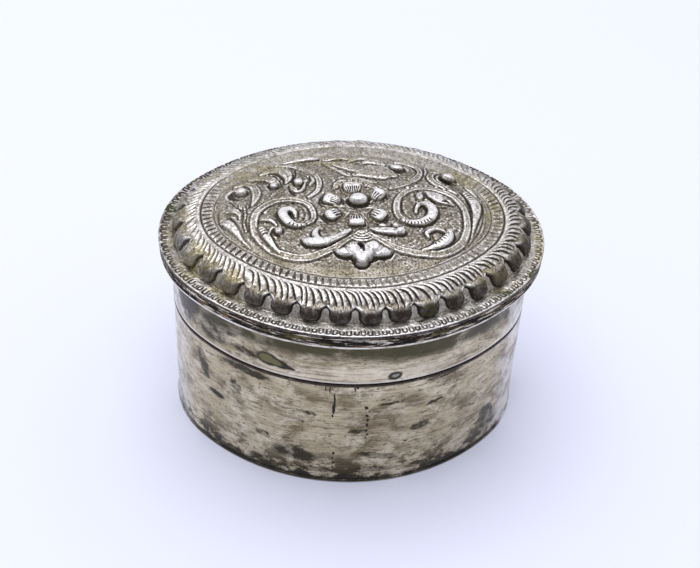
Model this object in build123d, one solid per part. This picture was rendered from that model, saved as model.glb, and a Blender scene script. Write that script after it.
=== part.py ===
from build123d import *
import math
import os

# Oval silver lime box with a lift-off repousse lid. Millimetres, Z up.
# The origin is at the middle of the underside, with X along the oval's long axis.

# Outline of the lid's border, and the direction in which its end arcs meet its side arcs
lid_length = 76.0
lid_width = 60.0
join_angle = 42.0

# Heights above the table
seam_height = 28.1
rim_height = 43.3

# Sheet thicknesses
base_sheet = 0.8
wall_sheet = 0.9
collar_sheet = 0.7
top_sheet = 0.7
rim_plate_sheet = 1.0
rim_band_sheet = 0.55

# How far the lid's border stands out past the walls, and the base plate past the wall
border_overhang = 2.35
base_lip = 0.22
base_edge_round = 0.25

# Collar inside the box that guides the lid, with the gaps that let the lid slide and seat
collar_rise = 8.2
collar_depth = 9.0
collar_edge_round = 0.2
lid_gap = 0.35
slide_clearance = 0.15

# Solder seams where the bent strips close
solder_width = 0.45
wall_seam_x = 3.4
collar_seam_x = -6.0
skirt_seam_x = 5.0

# Hollow rim under the lid's border
rim_drop = 3.35
rim_plate_inset = 0.1
rim_plate_round = 0.35
rim_band_inset = 0.4
border_edge_round = 0.3

# Lid top, from the edge inward: flat border, round moulding, bead border, crowned field
border_width = 3.0
moulding_reach = 4.6
moulding_rise = 4.5
bead_border_width = 3.8
crown_rise = 1.5
crown_share = 0.86

# Lobes round the moulding, hollow behind
lobe_count = 34
lobe_radius = 2.2
lobe_sink = 1.55
lobe_angle = 30.0
lobe_overlap = 0.25
lobe_wall = 0.6
first_lobe_angle = -85.0

# Flower in the middle of the field
petal_count = 6
petal_ring = 4.9
petal_radius = 2.0
petal_sink = 0.5
flower_boss_radius = 2.35
flower_boss_sink = 0.2

# Bud in front of the flower: places of its lobes in shares of its spread
bud_x = 1.3
bud_distance = 12.9
bud_spread = 2.15
bud_radius = 1.75
bud_sink = 0.3
bud_lobes = [(0, -0.9), (-0.85, 0.4), (0.85, 0.5), (-1.8, 0), (1.8, 0)]

# Scroll stems: each bend's radius in shares of the field's half width, and its turn
stem_radius = 1.0
stem_sink = 0.75
stem_start_share = -0.43
stem_gap = 1.0
scroll_eye_radius = 1.7
left_bends = [(0.86, 45), (0.49, 90), (0.3, 90), (0.28, 90), (0.17, 90), (0.12, 90)]
right_bends = [(0.97, 45), (0.46, 90), (0.5, 90), (0.23, 90), (0.25, 90), (0.14, 90)]

# Flat on the head of every round button, as a share of its radius
button_flat_share = 0.15

# Two round knobs that end the outer curls, in shares of the field's half sizes
knob_radius = 1.4
knob_sink = 1.2
knob_places = [(-0.81, 0.24), (0.74, 0.62)]

# Insets and heights that follow from the sizes above
half_length = lid_length / 2
half_width = lid_width / 2
wall_inset = border_overhang
collar_inset = wall_inset + wall_sheet
skirt_inner_inset = collar_inset - slide_clearance
cavity_inset = collar_inset + collar_sheet
collar_bottom = seam_height - collar_depth
collar_top = seam_height + collar_rise
skirt_bottom = seam_height + lid_gap
border_underside = rim_height - top_sheet
rim_bottom = rim_height - rim_drop
rim_band_bottom = rim_bottom + rim_plate_sheet
field_inset = border_width + moulding_reach + bead_border_width
field_half_width = half_width - field_inset
field_half_length = half_length - field_inset
field_height = rim_height + moulding_rise + crown_rise

# Four-arc oval: its arcs keep their centres, so every inset oval is parallel to the outline
join = math.radians(join_angle)
centre_span = (half_length - half_width) / (math.cos(join) + math.sin(join) - 1)
end_radius = half_width - centre_span * (1 - math.sin(join))
side_radius = end_radius + centre_span
end_centre = half_length - end_radius
side_centre = side_radius - half_width
crown_inset = field_inset + crown_share * (end_radius - field_inset)


def oval_face(inset):
    """Flat oval, parallel to the lid's outline and this far inside it."""
    small = end_radius - inset
    large = side_radius - inset
    half = [
        CenterArc((end_centre, 0), small, -join_angle, join_angle),
        CenterArc((end_centre, 0), small, 0, join_angle),
        CenterArc((0, -side_centre), large, join_angle, 90 - join_angle),
        CenterArc((0, -side_centre), large, 90, 90 - join_angle),
    ]
    return make_face(half + [arc.rotate(Axis.Z, 180) for arc in half])


def oval_slab(inset, low, high):
    return Pos(0, 0, low) * extrude(oval_face(inset), high - low)


def oval_ring(outer_inset, inner_inset, low, high):
    return oval_slab(outer_inset, low, high) - oval_slab(inner_inset, low, high)


def oval_point(run, inset):
    """Point this far round an inset oval from its right end, and its outward direction."""
    small = end_radius - inset
    large = side_radius - inset
    end_arc = 2 * small * join
    side_arc = large * (math.pi - 2 * join)
    run = (run + end_arc / 2) % (2 * (end_arc + side_arc))
    half_turns = 0
    if run >= end_arc + side_arc:
        run = run - end_arc - side_arc
        half_turns = 1
    if run < end_arc:
        outward = run / small - join
        x = end_centre + small * math.cos(outward)
        y = small * math.sin(outward)
    else:
        outward = join + (run - end_arc) / large
        x = large * math.cos(outward)
        y = large * math.sin(outward) - side_centre
    if half_turns:
        return -x, -y, outward + math.pi
    return x, y, outward


def oval_length(inset):
    """Length round an inset oval."""
    small = end_radius - inset
    large = side_radius - inset
    return 4 * small * join + 2 * large * (math.pi - 2 * join)


def seam_cutter(x, side):
    """Upright slice through the front or back of a bent strip, where its ends are soldered."""
    depth = half_width
    return Pos(x, side * depth / 2, rim_height / 2) * Box(solder_width, depth, 2 * rim_height)


def carried_round(profile):
    """Solid of a half profile, given as a function of the arc's radius, carried round the oval."""
    end_axis = Axis((end_centre, 0, 0), (0, 0, 1))
    end_section = Pos(end_centre, 0, 0) * (Plane.XZ * profile(end_radius))
    side_axis = Axis((0, -side_centre, 0), (0, 0, 1))
    side_section = Pos(0, -side_centre, 0) * (Plane.XZ * profile(side_radius))
    quarter = revolve(end_section, end_axis, join_angle)
    quarter = quarter + revolve(side_section.rotate(side_axis, join_angle), side_axis, 90 - join_angle)
    half = quarter + mirror(quarter, Plane.XZ)
    return half + mirror(half, Plane.YZ)


def top_curve(radius, shift, base):
    """Moulding, bead border and crown from the moulding's foot inward, above a base height."""
    lean = math.sqrt(0.5)
    head_inset = border_width + moulding_reach + shift
    foot = (radius - border_width - shift, base)
    middle = (radius - head_inset + lean * moulding_reach, base + lean * moulding_rise)
    head = (radius - head_inset, base + moulding_rise)
    edge = (radius - field_inset - shift, base + moulding_rise)
    crown = (radius - crown_inset - shift, base + moulding_rise + crown_rise)
    half_crown = ((edge[0] + crown[0]) / 2, base + moulding_rise + 0.75 * crown_rise)
    lines = [
        ThreePointArc(foot, middle, head),
        Line(head, edge),
        ThreePointArc(edge, half_crown, crown),
    ]
    return lines, foot, crown


def dome_outside():
    """Everything under the top surface of the lid, down to the border's underside."""

    def profile(radius):
        lines, foot, crown = top_curve(radius, 0, rim_height)
        edge_low = (radius, border_underside)
        edge_high = (radius, rim_height - border_edge_round)
        edge_top = (radius - border_edge_round, rim_height)
        lines.append(Line(crown, (crown[0], border_underside)))
        lines.append(Line((crown[0], border_underside), edge_low))
        lines.append(Line(edge_low, edge_high))
        lines.append(RadiusArc(edge_high, edge_top, -border_edge_round))
        lines.append(Line(edge_top, foot))
        return make_face(lines)

    return carried_round(profile) + oval_slab(crown_inset, border_underside, field_height)


def dome_inside():
    """Hollow under the lid's top, one sheet inside the top surface."""
    shift = top_sheet * (math.sqrt(2) - 1)

    def profile(radius):
        lines, foot, crown = top_curve(radius, shift, border_underside)
        lines.append(Line(crown, (crown[0], border_underside)))
        lines.append(Line((crown[0], border_underside), foot))
        return make_face(lines)

    middle = oval_slab(crown_inset + shift, border_underside, field_height - top_sheet)
    return carried_round(profile) + middle


def spheroid(half_span, radius):
    """Egg shape with its long axis along Y."""
    outline = EllipticalCenterArc((0, 0), radius, half_span, start_angle=-90, arc_size=180)
    section = make_face([outline, Line((0, half_span), (0, -half_span))])
    return revolve(section, Axis.Y, 360)


def moulding_lobes(wall):
    """Lobes round the moulding, made smaller all round by a wall thickness."""
    depth = moulding_reach - lobe_sink
    lean = math.radians(lobe_angle)
    inset = border_width + moulding_reach - depth * math.cos(lean)
    height = rim_height + depth * math.sin(lean)
    pitch = oval_length(inset) / lobe_count
    lobe = spheroid(pitch / 2 + lobe_overlap - wall, lobe_radius - wall)
    start = oval_length(inset) * first_lobe_angle / 360
    lobes = []
    for number in range(lobe_count):
        x, y, outward = oval_point(start + number * pitch, inset)
        lobes.append(Pos(x, y, height) * Rot(0, 0, math.degrees(outward)) * lobe)
    return lobes


def raised_button(x, y, sink, radius):
    """Round button raised on the field, with a small flat on its head, standing in the sheet."""
    flat = button_flat_share * radius
    section = make_face([
        Line((0, -radius), (radius, -radius)),
        Line((radius, -radius), (radius, flat)),
        RadiusArc((radius, flat), (flat, radius), flat - radius),
        Line((flat, radius), (0, radius)),
        Line((0, radius), (0, -radius)),
    ])
    return Pos(x, y, field_height - sink) * revolve(Plane.XZ * section, Axis.Z, 360)


def flower():
    pieces = [raised_button(0, 0, flower_boss_sink, flower_boss_radius)]
    for number in range(petal_count):
        angle = math.radians(90 + 360 * number / petal_count)
        x = petal_ring * math.cos(angle)
        y = petal_ring * math.sin(angle)
        pieces.append(raised_button(x, y, petal_sink, petal_radius))
    return pieces


def bud():
    pieces = []
    for across, along in bud_lobes:
        x = bud_x + across * bud_spread
        y = along * bud_spread - bud_distance
        pieces.append(raised_button(x, y, bud_sink, bud_radius))
    return pieces


def scroll(heading, side, bends):
    """Round stem raised on the field, winding to one side in ever tighter quarter bends."""
    x = bud_x + side * (stem_radius + stem_gap / 2)
    y = stem_start_share * field_half_width
    height = field_height - stem_sink
    pieces = []
    for share, turn in bends:
        bend = share * field_half_width
        aim = math.radians(heading)
        along = (math.cos(aim), math.sin(aim), 0)
        centre_x = x - side * bend * math.sin(aim)
        centre_y = y + side * bend * math.cos(aim)
        section = Plane(origin=(x, y, height), z_dir=along) * Circle(stem_radius)
        pieces.append(revolve(section, Axis((centre_x, centre_y, 0), (0, 0, side)), turn))
        heading = heading + side * turn
        aim = math.radians(heading)
        x = centre_x + side * bend * math.sin(aim)
        y = centre_y - side * bend * math.cos(aim)
    pieces.append(raised_button(x, y, stem_sink, scroll_eye_radius))
    return pieces


def knobs():
    pieces = []
    for across, along in knob_places:
        x = across * field_half_length
        y = along * field_half_width
        pieces.append(raised_button(x, y, knob_sink, knob_radius))
    return pieces


def make_base_plate():
    plate = oval_slab(wall_inset - base_lip, 0, base_sheet)
    return fillet(plate.edges(), base_edge_round)


def make_body_wall():
    ring = oval_ring(wall_inset, collar_inset, base_sheet, seam_height)
    cutter = seam_cutter(wall_seam_x, -1)
    return ring - cutter, ring & cutter


def make_collar():
    ring = oval_ring(collar_inset, cavity_inset, collar_bottom, collar_top)
    ring = fillet(ring.edges().filter_by_position(Axis.Z, collar_top, collar_top), collar_edge_round)
    cutter = seam_cutter(collar_seam_x, 1)
    return ring - cutter, ring & cutter


def make_lid_skirt():
    ring = oval_ring(wall_inset, skirt_inner_inset, skirt_bottom, border_underside)
    cutter = seam_cutter(skirt_seam_x, 1)
    return ring - cutter, ring & cutter


def make_rim_plate():
    slab = fillet(
        oval_slab(rim_plate_inset, rim_bottom, rim_band_bottom).edges(),
        rim_plate_round,
    )
    return slab - oval_slab(wall_inset, rim_bottom, rim_band_bottom)


def make_rim_band():
    inner = rim_band_inset + rim_band_sheet
    return oval_ring(rim_band_inset, inner, rim_band_bottom, border_underside)


def make_lid_top():
    left_scroll, *left_pieces = scroll(225, -1, left_bends)
    right_scroll, *right_pieces = scroll(-45, 1, right_bends)
    top = dome_outside() + moulding_lobes(0)
    top = top + (left_scroll + left_pieces) + (right_scroll + right_pieces)
    top = top + flower() + bud() + knobs()
    return top - dome_inside() - moulding_lobes(lobe_wall)


body_wall, wall_seam = make_body_wall()
inner_collar, collar_seam = make_collar()
lid_skirt, skirt_seam = make_lid_skirt()

parts = {
    "base_plate": make_base_plate(),
    "body_wall": body_wall,
    "wall_seam": wall_seam,
    "inner_collar": inner_collar,
    "collar_seam": collar_seam,
    "lid_skirt": lid_skirt,
    "skirt_seam": skirt_seam,
    "rim_plate": make_rim_plate(),
    "rim_band": make_rim_band(),
    "lid_top": make_lid_top(),
}

os.makedirs("parts", exist_ok=True)
for name, shape in parts.items():
    export_step(shape, f"parts/{name}.step")
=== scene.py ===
import math

import bmesh
import bpy
import numpy as np
from mathutils import Matrix, Vector


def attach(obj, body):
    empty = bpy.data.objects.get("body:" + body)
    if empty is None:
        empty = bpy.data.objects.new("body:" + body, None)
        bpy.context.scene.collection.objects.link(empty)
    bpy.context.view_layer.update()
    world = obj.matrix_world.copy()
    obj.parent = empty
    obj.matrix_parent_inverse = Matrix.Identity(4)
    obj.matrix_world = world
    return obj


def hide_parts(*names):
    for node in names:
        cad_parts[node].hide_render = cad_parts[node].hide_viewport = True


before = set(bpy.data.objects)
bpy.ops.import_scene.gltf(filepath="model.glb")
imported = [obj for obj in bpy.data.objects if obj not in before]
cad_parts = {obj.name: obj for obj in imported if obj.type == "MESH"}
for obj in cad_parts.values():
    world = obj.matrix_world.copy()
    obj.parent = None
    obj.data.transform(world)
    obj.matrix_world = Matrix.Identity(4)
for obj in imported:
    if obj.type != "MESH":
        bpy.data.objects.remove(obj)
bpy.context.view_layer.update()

# Lengths are in millimetres here and turned into metres when a mesh is made.
MM = 0.001
PER_METRE = 1000

# Outline of the lid: four arcs whose centres stay put for every parallel oval
HALF_LENGTH = 38.0
HALF_WIDTH = 30.0
JOIN = math.radians(42.0)
CENTRE_SPAN = (HALF_LENGTH - HALF_WIDTH) / (math.cos(JOIN) + math.sin(JOIN) - 1)
END_RADIUS = HALF_WIDTH - CENTRE_SPAN * (1 - math.sin(JOIN))
SIDE_RADIUS = END_RADIUS + CENTRE_SPAN
END_CENTRE = HALF_LENGTH - END_RADIUS
SIDE_CENTRE = SIDE_RADIUS - HALF_WIDTH

# Heights above the table and insets from the lid's edge
BASE_TOP = 0.8
SEAM_LOW = 28.1
SEAM_HIGH = 28.45
COLLAR_LOW = 19.1
COLLAR_HIGH = 36.3
RIM_PLATE_LOW = 39.55
RIM_PLATE_HIGH = 40.45
BORDER_UNDER = 42.6
RIM = 43.3
BASE_INSET = 2.13
WALL_INSET = 2.35
WALL_INSIDE = 3.25
SKIRT_INSIDE = 3.1
COLLAR_INSIDE = 3.95
RIM_PLATE_INSET = 0.3
RIM_BAND_INSET = 0.12
RIM_BAND_INSIDE = 0.95

# Lid profile, from the edge inward
EDGE_ROUND = 0.2
SHEET = 0.7
MOULDING_FOOT = 3.5
CREST = 7.6
MOULDING_RUN = CREST - MOULDING_FOOT
MOULDING_RISE = 4.5
FIELD = 11.4
CROWN_RISE = 1.5
CROWN_RUN = 10.5

# Where features are counted round the oval, and how many rays the lid's top has
FEATURE_INSET = 4.0
LOBES = 34
FIRST_LOBE = -85 / 360
HATCHES = 142
PUNCHES = 158
BEADS = 118
RAYS = 1920

rng = np.random.default_rng(7)


def smooth(low, high, value):
    t = np.clip((value - low) / (high - low), 0, 1)
    return t * t * (3 - 2 * t)


def bell(distance, width):
    return np.exp(-((distance / width) ** 2))


def turned(degrees):
    """Cosine and sine of an angle in degrees."""
    angle = math.radians(degrees)
    return math.cos(angle), math.sin(angle)


def blur(field, passes):
    """Softens a grid along both directions."""
    for _ in range(passes):
        for axis in (0, 1):
            field = (np.roll(field, 1, axis) + 2 * field + np.roll(field, -1, axis)) / 4
    return field


def grit(shape, passes):
    """Seeded roughness of hand-worked sheet with an even spread of 1."""
    field = blur(rng.standard_normal(shape), passes)
    return field / field.std()


# The oval

def rays(count):
    """Evenly spaced rays across the oval: arc centres, arc radii, outward angles and run."""
    small = END_RADIUS - FEATURE_INSET
    large = SIDE_RADIUS - FEATURE_INSET
    end_arc = 2 * small * JOIN
    side_arc = large * (math.pi - 2 * JOIN)
    half = end_arc + side_arc
    run = np.arange(count) / count * 2 * half
    shifted = (run + end_arc / 2) % (2 * half)
    second = shifted >= half
    local = shifted % half
    on_end = local < end_arc
    angle = np.where(on_end, local / small - JOIN, JOIN + (local - end_arc) / large)
    angle = angle + np.where(second, math.pi, 0.0)
    sign = np.where(second, -1.0, 1.0)
    return {
        "cx": sign * np.where(on_end, END_CENTRE, 0.0),
        "cy": sign * np.where(on_end, 0.0, -SIDE_CENTRE),
        "radius": np.where(on_end, END_RADIUS, SIDE_RADIUS),
        "cos": np.cos(angle),
        "sin": np.sin(angle),
        "run": run,
        "turn": 2 * math.pi * run / (2 * half),
        "length": 2 * half,
        "count": count,
    }


def ring(ray, inset):
    """Points of a parallel oval, one on each ray. The inset may differ from ray to ray."""
    reach = ray["radius"] - inset
    return ray["cx"] + reach * ray["cos"], ray["cy"] + reach * ray["sin"]


def thin(ray, step):
    """Every step-th ray."""
    picked = {k: (v[::step] if isinstance(v, np.ndarray) else v) for k, v in ray.items()}
    picked["count"] = ray["count"] // step
    return picked


def inset_at(x, y):
    """How far inside the lid's outline a point is."""
    ax = np.abs(x)
    ay = np.abs(y)
    by_end = np.arctan2(ay, ax - END_CENTRE) < JOIN
    end_inset = END_RADIUS - np.hypot(ax - END_CENTRE, ay)
    side_inset = SIDE_RADIUS - np.hypot(ax, ay + SIDE_CENTRE)
    return np.where(by_end, end_inset, side_inset)


def crown(inset):
    """Height of the crowned field above the border."""
    t = np.clip((inset - FIELD) / CROWN_RUN, 0, 1)
    return MOULDING_RISE + CROWN_RISE * (1 - (1 - t) ** 2)


# Meshes

class Shell:
    """A mesh made of rings of points, joined ring to ring. A ring is its first point and its count."""

    def __init__(self, *marks):
        self.points = []
        self.total = 0
        self.faces = []
        self.marks = {name: [] for name in marks}

    def add(self, x, y, z, **marks):
        block = np.stack([x, y, z + 0 * x], 1)
        self.points.append(block)
        for name, blocks in self.marks.items():
            blocks.append(np.broadcast_to(marks.get(name, 0.0), (len(block),)))
        first = self.total
        self.total += len(block)
        return first, len(block)

    def oval(self, ray, inset, z):
        """Level ring that follows the outline."""
        return self.add(*ring(ray, inset), z)

    def face(self, *corners):
        """One face for each place in the lists of corners."""
        self.faces.append(np.stack(corners, 1))

    def join(self, a, b):
        """Faces between two rings, the second with as many points or half as many."""
        a0, an = a
        b0, bn = b
        i = np.arange(bn)
        j = (i + 1) % bn
        if an == bn:
            self.face(a0 + i, a0 + j, b0 + j, b0 + i)
            return
        middle = 2 * i + 1
        self.face(a0 + 2 * i, a0 + middle, b0 + i)
        self.face(a0 + middle, a0 + (2 * i + 2) % an, b0 + j, b0 + i)

    def close(self, a, x, y, z, under=False):
        """Faces from a ring to one point, which look down when they lie under the sheet."""
        a0, an = a
        tip, _ = self.add(np.array([x]), np.array([y]), np.array([z]))
        i = np.arange(an)
        j = (i + 1) % an
        if under:
            i, j = j, i
        self.face(a0 + i, a0 + j, np.full(an, tip))

    def skin(self, rings, wrap=False):
        for a, b in zip(rings, rings[1:]):
            self.join(a, b)
        if wrap:
            self.join(rings[-1], rings[0])

    def build(self, name):
        points = np.concatenate(self.points) * MM
        faces = []
        for block in self.faces:
            faces.extend(block.tolist())
        mesh = bpy.data.meshes.new(name)
        mesh.from_pydata(points.tolist(), [], faces)
        mesh.polygons.foreach_set("use_smooth", [True] * len(mesh.polygons))
        mesh.update()
        piece = add_object(name, mesh)
        for mark, blocks in self.marks.items():
            store(piece, mark, np.concatenate(blocks))
        return piece


def add_object(name, data):
    """New object in the scene."""
    thing = bpy.data.objects.new(name, data)
    bpy.context.scene.collection.objects.link(thing)
    return thing


def store(piece, name, values):
    """Keeps one number for each point, for the materials."""
    attribute = piece.data.attributes.new(name, "FLOAT", "POINT")
    attribute.data.foreach_set("value", np.asarray(values, np.float32))


# Relief of the field

# Grid step and half sizes, and the middles of the flower and of its boss
CELL = 0.08
FIELD_X = 28.0
FIELD_Y = 20.5
FLOWER = (0.4, 0.1)
BOSS = (0.95, 1.75)

# Distance of a grid point that no part of a line comes near
FAR = 1e9

# Ground that a form's own shape may reach past its edge, and the chased line round it
REACH = 0.9
OUTLINE_AWAY = 0.12
OUTLINE_WIDTH = 0.17
CHASE_WIDTH = 0.13

# Punch marks over the ground: how many, how deep, and how far from the bead border
STIPPLES = 12000
STIPPLE_DEPTH = 0.085
STIPPLE_MARGIN = 1.7


def saw(t):
    """Wave of straight slopes, from 1 down to 0 and up again over each unit."""
    return np.abs((t % 1) - 0.5) * 2


def chased(distance, width, depth):
    """Line that sets a stroke off from the ground."""
    return depth * bell(distance - width - OUTLINE_AWAY, OUTLINE_WIDTH) * (distance > width * 0.9)


def cells(low, high, origin, count):
    """Grid cells from a low to a high place, kept inside the grid."""
    return slice(max(0, int((low - origin) / CELL)), min(count, int((high - origin) / CELL) + 2))


class Relief:
    """Raised work and chased lines on a fine grid over the field."""

    def __init__(self):
        self.x = np.arange(-FIELD_X, FIELD_X + CELL / 2, CELL)
        self.y = np.arange(-FIELD_Y, FIELD_Y + CELL / 2, CELL)
        self.raised, self.cut, self.worked, self.ink = np.zeros((4, len(self.y), len(self.x)))

    def window(self, xs, ys, reach):
        """Part of the grid that holds some places and a margin round them."""
        rows = cells(np.min(ys) - reach, np.max(ys) + reach, -FIELD_Y, len(self.y))
        return rows, cells(np.min(xs) - reach, np.max(xs) + reach, -FIELD_X, len(self.x))

    def around(self, x, y, reach):
        """Window round a point, and the grid there measured from it."""
        rows, cols = self.window(x, y, reach)
        return (rows, cols), *np.meshgrid(self.x[cols] - x, self.y[rows] - y)

    def trace(self, line, reach):
        """Window, distance from a line of (x, y, half width), place along it, side and half width."""
        rows, cols = self.window(line[:, 0], line[:, 1], reach)
        gx, gy = np.meshgrid(self.x[cols], self.y[rows])
        best = np.full(gx.shape, FAR)
        along, side, width = np.zeros((3, *gx.shape))
        ox, oy = self.x[cols][0], self.y[rows][0]
        run = 0.0
        for (ax, ay, aw), (bx, by, bw) in zip(line[:-1], line[1:]):
            dx, dy = bx - ax, by - ay
            length = math.hypot(dx, dy)
            if length < 1e-6:
                continue
            near_rows = cells(min(ay, by) - reach, max(ay, by) + reach, oy, len(gy))
            near = near_rows, cells(min(ax, bx) - reach, max(ax, bx) + reach, ox, gx.shape[1])
            px = gx[near] - ax
            py = gy[near] - ay
            t = np.clip((px * dx + py * dy) / length**2, 0, 1)
            distance = np.hypot(px - t * dx, py - t * dy)
            nearer = distance < best[near]
            best[near] = np.where(nearer, distance, best[near])
            along[near] = np.where(nearer, run + t * length, along[near])
            side[near] = np.where(nearer, np.sign(dx * py - dy * px), side[near])
            width[near] = np.where(nearer, aw + t * (bw - aw), width[near])
            run += length
        return (rows, cols), best, along, side, width, run

    def paint(self, area, share, height, cut, ink=0.0):
        """Lays a form over what is there: share is 1 inside the form, 0 outside it."""
        self.ink[area] = np.maximum(self.ink[area] * (1 - share), ink)
        self.raised[area] = np.maximum(self.raised[area], height)
        self.cut[area] = np.maximum(self.cut[area] * (1 - share), cut)
        self.worked[area] = np.maximum(self.worked[area], share)

    def leaf(self, points, height, hatch=None, vein=0.0, outline=0.15, step=0.75):
        """Swelling stroke with a rounded back. Hatch is (start, stop, side) in shares of its run."""
        line = curve(points)
        widest = line[:, 2].max()
        area, distance, along, side, width, run = self.trace(line, widest + REACH)
        width = np.maximum(width, 0.05)
        share = smooth(1.06, 0.94, distance / width)
        back = np.sqrt(np.clip(1 - (distance / width) ** 2, 0, 1))
        ink = 0.0
        height = height * min(1.0, height**0.35)
        lift = height * (width / widest) * (0.5 * smooth(0, 0.6, back) + 0.5 * back)
        if hatch:
            start, stop, facing = hatch
            zone = smooth(start * run - 0.3, start * run + 0.3, along)
            zone = zone * smooth(stop * run + 0.3, stop * run - 0.3, along)
            zone = zone * smooth(-0.25, 0.35, facing * side * distance / width + (facing == 0))
            ink = zone * smooth(0.45, 0.85, saw(along / step)) * smooth(1.0, 0.7, distance / width)
            lift = lift - 0.22 * ink
        if vein:
            lift = lift - vein * bell(distance, CHASE_WIDTH) * smooth(0.0, 1.0, along)
        self.paint(area, share, lift * (distance < width), chased(distance, width, outline), ink)

    def band(self, points, height, outline=0.12):
        """Flat stem between two raised edge lines."""
        line = curve(points)
        area, distance, _, _, width, _ = self.trace(line, line[:, 2].max() + REACH)
        share = smooth(1.06, 0.94, distance / np.maximum(width, 0.05))
        rise = smooth(0.0, 0.22, width - distance)
        edges = bell(width - distance - 0.2, 0.15)
        middle = bell(distance, CHASE_WIDTH) * smooth(0.5, 0.8, width)
        form = np.maximum(0.45 * rise + 0.4 * edges + 0.15 * middle, 0)
        lift = 0.72 * height * form * (distance < width)
        self.paint(area, share, lift, chased(distance, width, outline))

    def ball(self, x, y, rx, ry, height, turn=0.0, outline=0.16, hatch=None):
        """Raised round boss. Hatch is how far apart its strokes are."""
        area, gx, gy = self.around(x, y, max(rx, ry) + 0.8)
        c, s = turned(turn)
        u, v = gx * c + gy * s, gy * c - gx * s
        q = np.hypot(u / rx, v / ry)
        back = np.clip(1 - q**3.4, 0, 1) ** 0.5 * (0.97 - 0.06 * gy)
        lift = height * back
        ink = 0.0
        if hatch:
            ink = smooth(0.4, 0.8, saw(u / hatch + 0.5)) * smooth(-0.2, 0.2, v / ry) * (q < 0.92)
            lift = lift - 0.25 * ink
        edge = outline * bell((q - 1) * min(rx, ry) - 0.14, 0.2) * (q > 0.9)
        self.paint(area, smooth(1.05, 0.95, q), lift * (q < 1), edge, ink)

    def petal(self, x, y, along, across, height, strokes=4, facing=None, backing=0.3):
        """Domed petal that points away from the flower's middle, scored at its inner end."""
        turn = math.atan2(y - FLOWER[1], x - FLOWER[0]) if facing is None else math.radians(facing)
        area, gx, gy = self.around(x, y, max(along, across) + backing + REACH)
        c, s = math.cos(turn), math.sin(turn)
        u, v = (gx * c + gy * s) / along, (gy * c - gx * s) / across
        v = v / (1 + 0.16 * u)
        q = (np.abs(u) ** 3.0 + np.abs(v) ** 3.0) ** (1 / 3.0)
        span = min(along, across)
        wide_q = q * span / (span + backing)
        form = 0.18 * smooth(1.05, 0.85, wide_q)
        edge = 0.12 * bell((wide_q - 1.0) * span - 0.16, 0.17)
        self.paint(area, smooth(1.05, 0.95, wide_q), form * (wide_q < 1.05), edge)
        dome = height * np.clip(1 - q**5.0, 0, 1) ** 0.5 * (0.88 + 0.1 * u)
        score = saw(v * (1 - 0.3 * u) * strokes / 1.5 + 0.5 * (strokes % 2))
        zone = smooth(0.25, -0.1, u) * smooth(-1.0, -0.8, u) * smooth(0.9, 0.7, np.abs(v))
        ink = zone * smooth(0.3, 0.75, score)
        edge = 0.25 * bell((q - 1) * span - 0.1, 0.13) * (q > 0.9)
        self.paint(area, smooth(1.04, 0.96, q), (dome - 0.3 * ink) * (q < 1), edge, ink)

    def groove(self, points, width=0.14, depth=0.16):
        """Chased line."""
        line = curve([(x, y, width) for x, y in points])
        area, distance, *_ = self.trace(line, 4 * width)
        mark = bell(distance, width)
        self.cut[area] = np.maximum(self.cut[area], depth * mark)
        self.ink[area] = np.maximum(self.ink[area], 0.7 * mark)

    def pit(self, points, depth, soft=0.35):
        """Deep hollow of varying width."""
        line = curve(points)
        area, distance, _, _, width, _ = self.trace(line, line[:, 2].max() + 0.8)
        hollow = depth * smooth(soft, -soft, distance - width)
        self.cut[area] = np.maximum(self.cut[area], hollow)

    def stipple(self):
        """Small round punch marks over the ground, left off the raised work."""
        spread = ((-26, 26), (-18, 18), (0.12, 0.2))
        for x, y, size in zip(*[rng.uniform(low, high, STIPPLES) for low, high in spread]):
            if inset_at(x, y) < FIELD + STIPPLE_MARGIN:
                continue
            area, gx, gy = self.around(x, y, 0.5)
            mark = STIPPLE_DEPTH * bell(np.hypot(gx, gy), size) * (1 - self.worked[area])
            self.cut[area] = self.cut[area] + mark

    def height(self):
        shape = self.raised.shape
        rough = 0.03 * grit(shape, 8) + 0.025 * grit(shape, 60)
        return blur(self.raised - self.cut, 1) + rough * (0.4 + 0.6 * self.worked)

    def sample(self, field, x, y):
        fx = np.clip((x + FIELD_X) / CELL, 0, len(self.x) - 1.001)
        fy = np.clip((y + FIELD_Y) / CELL, 0, len(self.y) - 1.001)
        i, j = fx.astype(int), fy.astype(int)
        u, v = fx - i, fy - j
        top = field[j, i] * (1 - u) + field[j, i + 1] * u
        low = field[j + 1, i] * (1 - u) + field[j + 1, i + 1] * u
        return top * (1 - v) + low * v


def curve(points, step=0.22):
    """Smooth line through the points; each point is (x, y, half width)."""
    p = np.array(points, float)
    p = np.vstack([2 * p[0] - p[1], p, 2 * p[-1] - p[-2]])
    line = []
    for a, b, c, d in zip(p[:-3], p[1:-2], p[2:-1], p[3:]):
        pieces = max(2, int(math.hypot(c[0] - b[0], c[1] - b[1]) / step))
        square = 2 * a - 5 * b + 4 * c - d
        cube = 3 * b - a - 3 * c + d
        for t in np.arange(pieces) / pieces:
            line.append(0.5 * (2 * b + (c - a) * t + square * t**2 + cube * t**3))
    line.append(p[-2])
    line = np.array(line)
    line[:, 2] = np.maximum(line[:, 2], 0.03)
    return line


def wide(points, *widths):
    """Points with half widths spread along them."""
    places = np.linspace(0, 1, len(widths))
    shares = np.arange(len(points)) / (len(points) - 1)
    return [(x, y, float(np.interp(share, places, widths))) for share, (x, y) in zip(shares, points)]


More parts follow.
